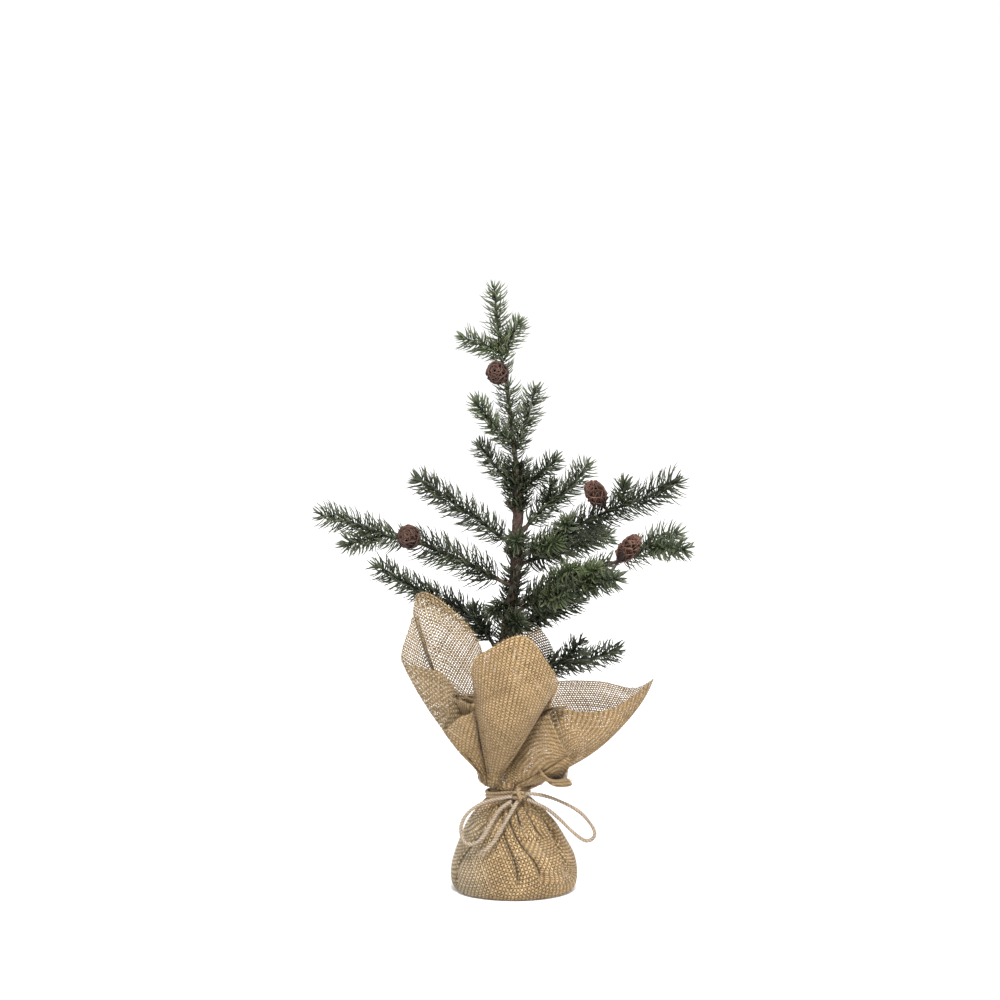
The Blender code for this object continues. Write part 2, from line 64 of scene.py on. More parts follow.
# The cloth's edge above the neck: cloth angle, edge point x, y, z, how far the ray bows outwards.
CLOTH_EDGE = [
    (180, -73.6, -2, 246, 6), (188, -83, -8, 219, 8), (196, -90, -17, 192, 8), (205, -73, -26, 187, 6),
    (213, -57, -29, 183, 2), (220, -46, -27, 165, -4), (227, -57, -35, 138, 4), (235, -43, -39, 149, 6),
    (243, -30, -42, 158, -2), (250, -33, -47, 193, 6), (259, -20, -55, 207, 16), (270, 8, -60, 220, 24),
    (282, 28, -54, 196, 18), (291, 36, -46, 178, 8), (300, 29, -40, 156, -3), (308, 38, -46, 131, 6),
    (316, 46, -42, 113, 8), (322, 38, -24, 95, 2), (332, 44, -21, 106, 12), (338, 30, -20, 132, 26),
    (344, 33, -19, 152, 34), (350, 58, -17, 149, 30), (355, 84, -12, 153, 26), (361, 114, -2, 174, 20),
    (369, 98, 5, 165, 12), (379, 70, 8, 170, 6),
    (390, 34, 12, 169, 2), (402, 28, 24, 157, -2), (420, 33, 46, 188, 4), (440, 14, 48, 213, 8),
    (460, -8, 45, 205, 8), (480, -26, 32, 168, 2), (500, -29, 14, 172, 0), (515, -25, 4, 196, 2),
    (528, -42, -1, 224, 4),
]
CORNERS = [180, 270, 361, 440, 540]
# Where each ray of cloth leaves the neck: cloth angle, angle on the neck.
NECK_TURN = [(180, 168), (220, 182), (243, 196), (270, 207), (300, 222), (312, 262), (325, 308), (345, 335),
             (361, 355), (402, 400), (440, 440), (485, 488), (515, 508), (540, 528)]
# Folds above the neck: cloth angle, its share at the neck and near the edge.
FLAP_FOLDS = [
    [(186, 0.5, 0.25), (220, 0.6, 1.0), (232, 0.5, 0.0), (243, 0.7, 1.1), (256, 0.5, 0.0)],
    [(284, 0.5, 0.0), (300, 0.9, 0.5), (313, 0.5, 0.1), (327, 0.7, 1.0), (344, 0.5, 0.0)],
    [(376, 0.5, 0.0), (402, 0.8, 1.0), (421, 0.5, 0.0)],
    [(456, 0.5, 0.0), (484, 0.8, 1.0), (500, 0.5, 0.3), (522, 0.5, 0.0)],
]


def smoothstep(x):
    x = np.clip(x, 0, 1)
    return x * x * (3 - 2 * x)


def distances(line):
    """How far along a polyline each of its points lies."""
    return np.concatenate([[0], np.cumsum(np.linalg.norm(np.diff(line, axis=0), axis=1))])


def sampled(wanted, at, field):
    """A field's rows, known at some distances, read off at the wanted distances."""
    return np.stack([np.interp(wanted, at, field[:, k]) for k in range(field.shape[1])], 1)


def resample(line, step):
    """Points a nearly even step apart along a polyline."""
    at = distances(line)
    count = max(2, round(at[-1] / step))
    return sampled(np.linspace(0, at[-1], count + 1), at, line)


def catmull_rom(before, start, end, after, t):
    """Points on a smooth curve from start to end, shaped by the points on either side."""
    return 0.5 * (2 * start + (end - before) * t + (2 * before - 5 * start + 4 * end - after) * t ** 2
                  + (3 * start - before - 3 * end + after) * t ** 3)


def spline(points, step):
    """A smooth curve through the points, as points a nearly even step apart."""
    given = np.array(points, float)
    padded = np.vstack([given[:1], given, given[-1:]])
    t = np.linspace(0, 1, 13)[:-1, None]
    parts = []
    for before, start, end, after in zip(padded, padded[1:], padded[2:], padded[3:]):
        parts.append(catmull_rom(before, start, end, after, t))
    return resample(np.vstack([*parts, given[-1:]]), step)


def unit(v):
    return v / np.maximum(np.linalg.norm(v, axis=-1, keepdims=True), 1e-12)


def transported(line):
    """Forward, side and up unit vectors along a polyline, turning as little as they can."""
    ahead = unit(np.gradient(line, axis=0))
    side = np.empty_like(ahead)
    start = np.cross(ahead[0], (0, 0, 1) if abs(ahead[0][2]) < 0.9 else (0, 1, 0))
    for i, direction in enumerate(ahead):
        start = start - direction * start.dot(direction)
        start = start / np.linalg.norm(start)
        side[i] = start
    return ahead, side, np.cross(ahead, side)


def rings_round(line, sides):
    """The angles of a ring, its unit vectors round each point of a polyline, and the forward vectors."""
    ahead, side, up = transported(line)
    angle = np.linspace(0, 2 * math.pi, sides, endpoint=False)[None, :]
    return angle, np.cos(angle)[..., None] * side[:, None] + np.sin(angle)[..., None] * up[:, None], ahead


def make_mesh(name, points, faces, material, values):
    """An object from points in millimetres, with float attributes on its points."""
    mesh = bpy.data.meshes.new(name)
    listed = faces.tolist() if isinstance(faces, np.ndarray) else faces
    mesh.from_pydata((np.asarray(points) * MM).tolist(), [], listed)
    for label, data in values.items():
        mesh.attributes.new(label, "FLOAT", "POINT").data.foreach_set("value", np.asarray(data, np.float32))
    mesh.materials.append(material)
    mesh.polygons.foreach_set("use_smooth", np.full(len(mesh.polygons), True))
    mesh.update()
    obj = bpy.data.objects.new(name, mesh)
    bpy.context.scene.collection.objects.link(obj)
    return obj


def grid_faces(rows, columns, closed=False):
    """Quads between the rows of a grid of points."""
    i, j = np.meshgrid(np.arange(rows - 1), np.arange(columns if closed else columns - 1), indexing="ij")
    right = (j + 1) % columns
    corners = [i * columns + j, i * columns + right, (i + 1) * columns + right, (i + 1) * columns + j]
    return np.stack(corners, -1).reshape(-1, 4)


def tube_faces(rows, sides):
    """The faces of a tube made of rings, closed at both ends."""
    faces = grid_faces(rows, sides, closed=True).tolist()
    return faces + [list(range(sides))[::-1], [(rows - 1) * sides + k for k in range(sides)]]


def copied(faces, count, step):
    """The same faces for each of count blocks of step points."""
    return (faces[None] + (np.arange(count) * step)[:, None, None]).reshape(-1, 4)


# Materials

def nodes_of(name, roughness):
    made = bpy.data.materials.new(name)
    made.use_nodes = True
    shader = made.node_tree.nodes["Principled BSDF"]
    shader.inputs["Roughness"].default_value = roughness
    return made, made.node_tree, shader


def add_node(tree, kind, values=(), **settings):
    made = tree.nodes.new(kind)
    for key, value in settings.items():
        setattr(made, key, value)
    for key, value in dict(values).items():
        if isinstance(value, bpy.types.NodeSocket):
            tree.links.new(value, made.inputs[key])
        else:
            made.inputs[key].default_value = value
    return made


def noise_node(tree, scale, detail=3.0, stretch=None):
    place = add_node(tree, "ShaderNodeTexCoord").outputs["Object"]
    if stretch:
        place = add_node(tree, "ShaderNodeMapping", {"Vector": place, "Scale": stretch}).outputs[0]
    return add_node(tree, "ShaderNodeTexNoise", {"Vector": place, "Scale": scale, "Detail": detail}).outputs["Fac"]


def ramp(tree, fac, stops):
    made = add_node(tree, "ShaderNodeValToRGB", {"Fac": fac})
    elements = made.color_ramp.elements
    while len(elements) < len(stops):
        elements.new(0.5)
    for element, (place, colour) in zip(elements, stops):
        element.position = place
        element.color = (*colour, 1)
    return made.outputs["Color"]


def attribute(tree, name):
    return add_node(tree, "ShaderNodeAttribute", attribute_name=name).outputs["Fac"]


def maths(tree, operation, a, b):
    return add_node(tree, "ShaderNodeMath", {0: a, 1: b}, operation=operation).outputs[0]


def mixed(tree, fac, a, b, blend="MIX"):
    made = add_node(tree, "ShaderNodeMix", data_type="RGBA", blend_type=blend)
    for key, value in ((0, fac), (6, a), (7, b)):
        if isinstance(value, bpy.types.NodeSocket):
            tree.links.new(value, made.inputs[key])
        elif key == 0:
            made.inputs[key].default_value = value
        else:
            made.inputs[key].default_value = (*value, 1)
    return made.outputs[2]


def bump(tree, shader, height, distance):
    made = add_node(tree, "ShaderNodeBump", {"Height": height, "Distance": distance, "Strength": 1.0})
    tree.links.new(made.outputs["Normal"], shader.inputs["Normal"])


def fibre_material(name, stops, roughness, fine, depth):
    """Plant fibre: a tone for each yarn, finer streaks over it, and a hairy bump."""
    made, tree, shader = nodes_of(name, roughness)
    tone = maths(tree, "ADD", attribute(tree, "tone"),
                 maths(tree, "MULTIPLY", maths(tree, "SUBTRACT", noise_node(tree, fine, 4), 0.5), 0.55))
    colour = ramp(tree, tone, stops)
    # Greyed, lifted colour blended in by a per-point attribute: a painted sheen.
    greyed = mixed(tree, 1.0, colour, (0.98, 1.16, 1.55), "MULTIPLY")
    colour = mixed(tree, attribute(tree, "painted_sheen"), colour, greyed)
    patches = ramp(tree, noise_node(tree, 38, 2), [(0.3, (0.86, 0.84, 0.82)), (0.7, (1.08, 1.07, 1.05))])
    tree.links.new(mixed(tree, 1.0, colour, patches, "MULTIPLY"), shader.inputs["Base Color"])
    shader.inputs["Sheen Weight"].default_value = 0.12
    bump(tree, shader, noise_node(tree, fine * 1.4, 3), depth)
    return made


# Colours from a needle's foot to its tip, for dark, greyish pale and fresh green needles.
NEEDLE_COLOURS = [
    [(0.005, 0.007, 0.003), (0.013, 0.019, 0.0075), (0.036, 0.044, 0.020)],
    [(0.030, 0.042, 0.018), (0.084, 0.103, 0.057), (0.152, 0.165, 0.122)],
    [(0.016, 0.028, 0.005), (0.050, 0.074, 0.016), (0.108, 0.130, 0.046)],
]


def needle_material():
    """Needle green: darkest at the foot, with the needle's age choosing between the colours."""
    made, tree, shader = nodes_of("needle_green", 0.5)
    along = attribute(tree, "tone")
    body, pale, green = (ramp(tree, along, list(zip((0.0, 0.45, 1.0), colours))) for colours in NEEDLE_COLOURS)
    age = attribute(tree, "age")
    fresh = mixed(tree, age, body, pale)
    fresh = mixed(tree, maths(tree, "SUBTRACT", age, 0.9), fresh, green)
    speck = ramp(tree, noise_node(tree, 420, 2), [(0.3, (0.8, 0.82, 0.8)), (0.7, (1.15, 1.12, 1.05))])
    tree.links.new(mixed(tree, 1.0, fresh, speck, "MULTIPLY"), shader.inputs["Base Color"])
    shader.inputs["Specular IOR Level"].default_value = 0.25
    bump(tree, shader, noise_node(tree, 700, 2), 0.00008)
    return made


def bark_material(name, stops, scale, depth, roughness=0.85, deep=(0.35, 0.33, 0.32), rim=(1.15, 1.12, 1.1)):
    """Bark, wire wrap or cone scales: a rough colour that the tone darkens in hollows and lightens on rims."""
    made, tree, shader = nodes_of(name, roughness)
    rough = noise_node(tree, scale, 6, (1, 1, 0.35))
    colour = ramp(tree, rough, stops)
    # Pale grey colour blended in by a per-point attribute: a painted sheen where the mesh sets it.
    painted_sheen_colour = mixed(tree, 1.0, colour, (3.4, 3.9, 3.9), "MULTIPLY")
    colour = mixed(tree, attribute(tree, "painted_sheen"), colour, painted_sheen_colour)
    hollow = ramp(tree, attribute(tree, "tone"), [(0.0, deep), (1.0, rim)])
    tree.links.new(mixed(tree, 1.0, colour, hollow, "MULTIPLY"), shader.inputs["Base Color"])
    bump(tree, shader, rough, depth)
    return made


def plain_material(name, dark, light, scale, roughness, depth, metallic=0.0):
    made, tree, shader = nodes_of(name, roughness)
    grain = noise_node(tree, scale, 5)
    tree.links.new(ramp(tree, grain, [(0.3, dark), (0.7, light)]), shader.inputs["Base Color"])
    shader.inputs["Metallic"].default_value = metallic
    bump(tree, shader, grain, depth)
    return made


BURLAP = fibre_material("burlap_yarn", [(0.0, (0.036, 0.016, 0.004)), (0.5, (0.245, 0.158, 0.068)),
                                        (1.0, (0.64, 0.485, 0.285))], 0.95, 1100, 0.00025)
TWINE_FIBRE = fibre_material("twine_fibre", [(0.0, (0.070, 0.046, 0.026)), (0.5, (0.225, 0.170, 0.118)),
                                             (1.0, (0.52, 0.44, 0.35))], 0.9, 900, 0.0002)
KNOT_FIBRE = fibre_material("twine_knot_fibre", [(0.0, (0.06, 0.036, 0.016)), (0.5, (0.20, 0.135, 0.068)),
                                                 (1.0, (0.42, 0.31, 0.18))], 0.9, 900, 0.0002)
NEEDLE = needle_material()
STEM = bark_material("stem_wrap", [(0.25, (0.028, 0.022, 0.013)), (0.55, (0.060, 0.042, 0.026)),
                                   (0.8, (0.105, 0.075, 0.048))], 260, 0.0002)
BARK = bark_material("trunk_bark_skin", [(0.25, (0.017, 0.008, 0.006)), (0.5, (0.050, 0.027, 0.019)),
                                         (0.78, (0.118, 0.076, 0.055))], 150, 0.0006, 0.9)
SCALE = bark_material("cone_scales", [(0.25, (0.022, 0.007, 0.004)), (0.5, (0.065, 0.024, 0.012)),
                                      (0.8, (0.150, 0.078, 0.045))], 330, 0.0002, 0.7,
                      (0.12, 0.08, 0.08), (1.5, 1.6, 1.8))

# Camera, floor and light

FOCAL_LENGTH, SENSOR_WIDTH = 223.6, 36    # mm
CAMERA_AIM = Vector((-0.0105, 0, 0.320))  # m
CAMERA_DISTANCE = 5.0                     # m
CAMERA_TILT = math.radians(9)
# Area lights: name, place and size in metres, power in watts.
LIGHTS = [("key", (0.15, -1.5, 2.1), 0.7, 78), ("fill", (1.3, -1.3, 0.8), 1.2, 5),
          ("back", (0.4, 1.6, 1.5), 1.2, 6)]


def camera_floor_lights():
    scene = bpy.context.scene
    scene.view_settings.view_transform = "Standard"
    data = bpy.data.cameras.new("camera")
    data.lens = FOCAL_LENGTH
    data.sensor_width = SENSOR_WIDTH
    data.clip_end = 200
    camera = bpy.data.objects.new("camera", data)
    back = Vector((0, -math.cos(CAMERA_TILT), math.sin(CAMERA_TILT)))
    camera.location = CAMERA_AIM + back * CAMERA_DISTANCE
    camera.rotation_euler = (math.radians(90) - CAMERA_TILT, 0, 0)
    scene.collection.objects.link(camera)
    scene.camera = camera

    mesh = bpy.data.meshes.new("floor")
    mesh.from_pydata([(-40, -40, 0), (40, -40, 0), (40, 40, 0), (-40, 40, 0)], [], [(0, 1, 2, 3)])
    mesh.materials.append(plain_material("floor_paper", (0.955, 0.955, 0.955), (0.965, 0.965, 0.965), 6, 1.0, 0.0))
    floor = bpy.data.objects.new("floor", mesh)
    scene.collection.objects.link(floor)

    world = bpy.data.worlds.new("studio")
    world.use_nodes = True
    world.node_tree.nodes["Background"].inputs["Color"].default_value = (1, 1, 1, 1)
    world.node_tree.nodes["Background"].inputs["Strength"].default_value = 1.07
    scene.world = world
    for name, place, size, power in LIGHTS:
        light = bpy.data.lights.new(name, "AREA")
        light.size = size
        light.energy = power
        obj = bpy.data.objects.new(name, light)
        obj.location = place
        obj.rotation_euler = (Vector((0, 0, 0.2)) - Vector(place)).to_track_quat("-Z", "Y").to_euler()
        scene.collection.objects.link(obj)


camera_floor_lights()

# Twine

TWINE = 3.0                # thickness
PLIES = 3
LAY = 7.5                  # length in which the plies turn once
LEFT_LOOP = [
    (-0.6, -22.5, 81), (-9, -22, 79.5), (-23, -23, 76.5), (-34.5, -25, 70), (-40.5, -27, 62), (-42, -31, 54),
    (-39, -36, 46.5), (-32.5, -39.5, 45.5), (-25.5, -41, 50), (-21, -40, 56), (-17, -37, 63), (-10.5, -30, 72),
    (-1.5, -24.8, 77.6),
]
RIGHT_LOOP = [
    (10.6, -23, 83.5), (18, -24, 83.5), (28, -25, 81.5), (40, -26, 77), (53, -27, 70), (62, -27.5, 60.5),
    (66, -28, 52.5), (63.5, -28, 47), (57, -28, 46.5), (48, -28.5, 53.5), (38.5, -29, 63), (28.5, -28.5, 71.5),
    (19, -27, 76.5), (11.5, -26, 79.5),
]
TAIL = [(3.5, -26.6, 77.8), (-1, -32, 71), (-6.5, -38, 62.5), (-11.5, -42.5, 54.5), (-17, -46, 47),
        (-23.5, -47, 41)]
BAND_RADIUS = 17.1
BAND_TURNS = 2.04
BAND_RISE = 2.75           # from one turn to the next


def laid_twine(name, line, seed, blunt=False, fibre=TWINE_FIBRE):
    """Twine of several plies laid together along a line, as one lobed tube that turns as it goes."""
    rng = np.random.default_rng(seed)
    sides = 8 * PLIES
    angle, ring, _ = rings_round(line, sides)
    at = distances(line)
    turn = (at / LAY * 2 * math.pi)[:, None]
    lobes = np.abs(np.cos((angle - turn) * PLIES / 2))
    thick = 1 + 0.09 * np.sin(at / 5.3 + seed)[:, None] + rng.normal(0, 0.02, (len(line), 1))
    radius = TWINE / 2 * (0.58 + 0.42 * np.sqrt(lobes)) * thick
    if blunt:
        radius[-3:] *= np.array([1.05, 1.15, 1.2])[:, None]
    points = line[:, None] + ring * radius[..., None]
    # Lighter on each ply's crown and darker in the grooves between the plies: painted shade in the grooves.
    tone = 0.18 + 0.58 * lobes + rng.normal(0, 0.08, lobes.shape)
    return make_mesh(name, points.reshape(-1, 3), tube_faces(len(line), sides), fibre, {"tone": tone.reshape(-1)})


def fuzz(name, line, seed, per_mm, reach):
    """Loose fibres that stand out from a line of twine, as thin three-sided hairs."""
    rng = np.random.default_rng(seed)
    ahead, side, up = transported(line)
    count = int(len(line) * np.linalg.norm(line[1] - line[0]) * per_mm)
    pick = rng.integers(0, len(line) - 1, count)
    around = rng.uniform(0, 2 * math.pi, count)
    out = np.cos(around)[:, None] * side[pick] + np.sin(around)[:, None] * up[pick]
    along = ahead[pick] * rng.choice([-1, 1], count)[:, None]
    length = rng.uniform(0.5, 1.0, count)[:, None] * reach
    start = line[pick] + out * TWINE * 0.42
    lean = rng.uniform(0.3, 1.0, count)[:, None]
    middle = start + unit(out * lean + along * 0.9) * length * 0.5
    end = middle + unit(out * lean * 0.4 + along + rng.normal(0, 0.3, (count, 3))) * length * 0.5
    return hairs(name, [start, middle, end], rng, 0.11)


def hairs(name, stations, rng, width, fibre=TWINE_FIBRE):
    """Thin tapering three-sided hairs through the given stations."""
    count = len(stations[0])
    path = np.stack(stations, 1)
    ahead = unit(np.gradient(path, axis=1))
    side = unit(np.cross(ahead, rng.normal(0, 1, (count, 1, 3))))
    up = np.cross(ahead, side)
    taper = np.linspace(1, 0.45, len(stations))[None, :, None]
    rings = []
    for k in range(3):
        turn = 2 * math.pi * k / 3
        rings.append(path + (side * math.cos(turn) + up * math.sin(turn)) * width / 2 * taper)
    points = np.stack(rings, 2)
    every = copied(grid_faces(len(stations), 3, closed=True), count, len(stations) * 3)
    tone = np.repeat(rng.uniform(0.4, 0.95, count), len(stations) * 3)
    return make_mesh(name, points.reshape(-1, 3), every, fibre, {"tone": tone})


def twine_pieces():
    """The bow's two loops and its tail, which are free cords, then the band round the neck and the knot."""
    angle = np.linspace(0, BAND_TURNS * 2 * math.pi, 150)
    coil = np.stack([NECK_CENTRE[0] + BAND_RADIUS * np.cos(angle - 1.2),
                     NECK_CENTRE[1] + BAND_RADIUS * np.sin(angle - 1.2),
                     NECK_LOW + 2.2 + angle / (2 * math.pi) * BAND_RISE], 1)
    coil[:, 2] += 0.13 * (coil[:, 0] - 6) - 0.8      # the band sits higher on the right
    band = laid_twine("twine_band_turns", resample(coil, 0.8), 5, fibre=KNOT_FIBRE)
    knot = knot_piece()
    for obj, node in ((band, "twine_band"), (knot, "twine_knot")):
        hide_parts(node)
    shown = [band, knot]
    for name, node, route, seed, end in (("bow_loop_left", "twine_loop_left", LEFT_LOOP, 11, "object"),
                                         ("bow_loop_right", "twine_loop_right", RIGHT_LOOP, 12, "object"),
                                         ("bow_tail", "twine_tail", TAIL, 13, "bare")):
        line = spline(route, 0.8)
        obj = laid_twine(name, line, seed, blunt=end == "bare")
        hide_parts(node)
        extra = [fuzz(name + "_fuzz", line, seed + 50, 1.6, 3.2)]
        if end == "bare":
            extra.append(frayed_end(name + "_end", line, seed + 70))
        shown += [obj, *extra]
    shown.append(fuzz("twine_band_fuzz", resample(coil, 0.8), 61, 1.2, 2.6))
    for obj in shown:
        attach(obj, "base")
    return band


def knot_piece():
    """The bow's knot: two tight wraps of twine over a crossing core."""
    x, y, z = 5.0, -21.0, 82.2
    routes = [
        [(x - 4.6, y + 2.0, z + 0.6), (x - 3.2, y - 1.2, z + 2.3), (x, y - 2.6, z + 2.4), (x + 3.4, y - 1.0, z + 1.6),
         (x + 4.8, y + 2.2, z - 0.2)],
        [(x - 5.0, y + 1.4, z - 2.6), (x - 2.6, y - 1.6, z - 2.2), (x + 0.8, y - 2.6, z - 1.4),
         (x + 3.8, y - 1.2, z - 1.4), (x + 5.2, y + 1.4, z - 2.0)],
        [(x + 0.6, y + 2.6, z + 4.6), (x - 0.8, y - 1.8, z + 4.2), (x - 0.2, y - 4.4, z + 1.2),
         (x + 0.6, y - 4.4, z - 2.0), (x - 0.4, y - 2.0, z - 4.6), (x - 1.0, y + 2.4, z - 4.4)],
    ]
    pieces = [laid_twine(f"knot_wrap_{k}", spline(route, 0.7), 30 + k, fibre=KNOT_FIBRE)
              for k, route in enumerate(routes)]
    return joined("bow_knot", pieces)


def joined(name, pieces):
    """The pieces as one object, each keeping its attributes and materials."""
    bpy.ops.object.select_all(action="DESELECT")
    for obj in pieces:
        obj.select_set(True)
    bpy.context.view_layer.objects.active = pieces[0]
    bpy.ops.object.join()
    pieces[0].name = name
    return pieces[0]


def frayed_end(name, line, seed):
    """The untied tuft at the end of the tail."""
    rng = np.random.default_rng(seed)
    ahead = unit(line[-1] - line[-4])
    count = 60
    spread = rng.normal(0, 1, (count, 3))
    spread -= (spread @ ahead)[:, None] * ahead
    start = line[-1] + spread * 0.55 - ahead * 1.0
    middle = start + ahead * 2.4 + spread * 0.35
    end = middle + ahead * rng.uniform(0.6, 3.0, (count, 1)) + spread * 0.7
    return hairs(name, [start, middle, end], rng, 0.22)


# Burlap

def edge_rays(angles):
    """The cloth's edge points and bows at these cloth angles, on a closed smooth curve."""
    rows = np.array(CLOTH_EDGE, float)
    known = np.append(rows[:, 0], 540)
    wrapped = (np.asarray(angles) - 180) % 360 + 180
    i = np.clip(np.searchsorted(known, wrapped, side="right") - 1, 0, len(rows) - 1)
    t = ((wrapped - known[i]) / (known[i + 1] - known[i]))[:, None]
    before, start, end, after = (rows[(i + k) % len(rows), 1:] for k in (-1, 0, 1, 2))
    found = catmull_rom(before, start, end, after, t)
    return found[:, :3], found[:, 3:]


def open_cloth(angles, share):
    """Points of the cloth above the neck before it is folded: share 0 is the neck and 1 the edge."""
    leave = np.radians(np.interp(angles, *np.array(NECK_TURN, float).T))
    neck = np.stack([NECK_CENTRE[0] + NECK_RADIUS * np.cos(leave), NECK_CENTRE[1] + NECK_RADIUS * np.sin(leave),
                     np.full(len(leave), NECK_HIGH)], 1)
    edge, bow = edge_rays(angles)
    turn = np.radians(angles)
    out = np.stack([np.cos(turn), np.sin(turn), np.zeros(len(turn))], 1)
    lift = np.array([0, 0, 8.0]) * share * (1 - share)
    roll = (out * 5.4 + np.array([0, 0, -2.6])) * math.exp(-((share - 0.045) / 0.03) ** 2)
    side = np.exp(-((angles - 300) / 6) ** 2)[:, None] * np.array([-13, 19, 3.0]) * 4 * share * (1 - share)
    return roll + side + neck + (edge - neck) * share + out * 4 * share * (1 - share) * bow + lift


def folded(flat, at, hidden, shoulder, cap, gap):
    """Where flat lengths along a strip go when it is folded inwards at some places.

    Returns the length along the visible line, how deep the point is, and its step to one side of the fold."""
    begins = at + np.concatenate([[0], np.cumsum(hidden)[:-1]])
    ends = begins + hidden
    before = (flat[:, None] >= ends[None]).sum(1)
    passed = np.concatenate([[0], np.cumsum(hidden)])[before]
    shown = flat - passed
    depth = np.zeros(len(flat))
    aside = np.zeros(len(flat))
    for k in range(len(at)):
        inside = (flat > begins[k]) & (flat < ends[k])
        q = flat[inside] - begins[k]
        near = np.minimum(q, hidden[k] - q)
        depth[inside] = shoulder[k] + near * min(1.0, cap[k] / max(hidden[k] / 2, 1e-6))
        aside[inside] = np.where(q < hidden[k] / 2, -1, 1) * gap / 2
        shown[inside] = at[k]
        for distance in (begins[k] - flat, flat - ends[k]):
            by = (distance >= 0) & (distance < shoulder[k])
            dip = shoulder[k] - np.sqrt(np.maximum(shoulder[k] ** 2 - (shoulder[k] - distance[by]) ** 2, 0))
            depth[by] = np.maximum(depth[by], dip)
    return shown, depth, aside


COLUMNS = 1440             # columns of the table that the cloth is read from
ROW_STEP = 1.5
BASE_FLAT = POUCH[0][0]    # radius of the pouch's flat underside
SKIN_INSET = 0.6           # from the outline in to the middle of the cloth
LOWEST = 0.75              # height of the cloth's middle on its underside
NECK_TALL = NECK_HIGH - NECK_LOW


def pouch_levels():
    """Rows of the pouch from its centre to the neck: flat radius, then angle, radius and height of every column."""
    profile = spline([(radius, 0, height) for radius, height in POUCH], ROW_STEP)
    along = BASE_FLAT + distances(profile)
    cloth_angle = 180 + 360 * np.arange(COLUMNS) / COLUMNS
    pleats = np.array(POUCH_PLEATS)
    rows = []
    for radius in np.arange(ROW_STEP, BASE_FLAT, ROW_STEP):
        rows.append((radius, cloth_angle - 2, np.full(COLUMNS, radius - SKIN_INSET), LOWEST))
    for flat_radius, (radius, _, height) in zip(along, profile):
        share = pleats[:, 3] * smoothstep((height - pleats[:, 2]) / 14) + 1e-6
        angles = pleats[:, 0] + (pleats[:, 1] - pleats[:, 0]) * smoothstep((height - 20) / 45)
        per_degree = math.radians(1) * radius
        at = ((angles - POUCH_ANCHOR) % 360) * per_degree
        order = np.argsort(at)
        surplus = max(2 * math.pi * (flat_radius - radius), 0.0)
        hidden = (surplus * share / share.sum())[order]
        width = np.diff(np.append(at[order], at[order][0] + 360 * per_degree))
        room = np.minimum(width, np.roll(width, 1))
        shoulder = np.minimum(np.minimum(1.6 + 0.22 * hidden, 6.5), 0.44 * room) * smoothstep(hidden / 5)
        limit = 3.0 if height < 36 else min(3.0 + (height - 36) * 0.5, max(radius - 8.5, 2.5), 11)
        flat = ((cloth_angle - (POUCH_ANCHOR + 2)) % 360) * math.radians(1) * flat_radius
        shown, depth, aside = folded(flat, at[order], hidden, shoulder, np.full(len(at), limit), 2.0)
        turn = POUCH_ANCHOR + (shown + aside) / per_degree
        rows.append((flat_radius, turn, radius - SKIN_INSET - depth, max(height, LOWEST)))
    return rows


def flap_levels(flat_low, levels):
    """Rows of the cloth above the neck, from the neck to the edge, as points of every column."""
    per_side = COLUMNS // 4
    rows = []
    for share in np.linspace(0, 1, levels):
        angles = np.linspace(180, 540, COLUMNS + 1)
        ring = open_cloth(angles, share)
        far = open_cloth(angles, min(share + 0.02, 1.0)) - open_cloth(angles, min(share, 0.98))
        tangent = unit(np.gradient(ring, axis=0))
        inward = -unit(np.cross(tangent, far))
        length = distances(ring)
        row = np.empty((COLUMNS, 3))
        for side in range(4):
            start, stop = np.interp(CORNERS[side:side + 2], angles, length)
            local = np.linspace(-45, 45, per_side + 1)
            polar = np.radians(local)
            reach = flat_low * (1 - share) + share * HALF_CLOTH / np.cos(polar)
            outline = np.stack([reach * np.sin(polar), reach * np.cos(polar)], 1)
            flat = distances(outline)
            folds = np.array(FLAP_FOLDS[side])
            at = np.interp(folds[:, 0], angles, length) - start
            weight = folds[:, 1] + (folds[:, 2] - folds[:, 1]) * smoothstep((share - 0.1) / 0.45)
            surplus = flat[-1] - (stop - start)
            if surplus < 0:
                flat = flat * (stop - start) / flat[-1]
                surplus = 0.0
            hidden = surplus * weight / weight.sum()
            bounds = np.concatenate([[0], at, [stop - start]])
            room = np.minimum(np.diff(bounds)[:-1], np.diff(bounds)[1:])
            widest = 1.5 + 9 * smoothstep(share / 0.5)
            shoulder = np.minimum(np.minimum(0.8 + 0.10 * hidden, widest), 0.42 * room) * smoothstep(hidden / 8)
            cap = (5 + 12 * smoothstep(share / 0.5)) * np.minimum(1, hidden / 30 + 0.2)
            shown, depth, aside = folded(flat[:-1], at, hidden, shoulder, cap, 1.6)
            where = start + shown + aside
            sunk = unit(sampled(where, length, inward)) * depth[:, None]
            row[side * per_side:(side + 1) * per_side] = sampled(where, length, ring) + sunk
        rows.append(row)
    return rows


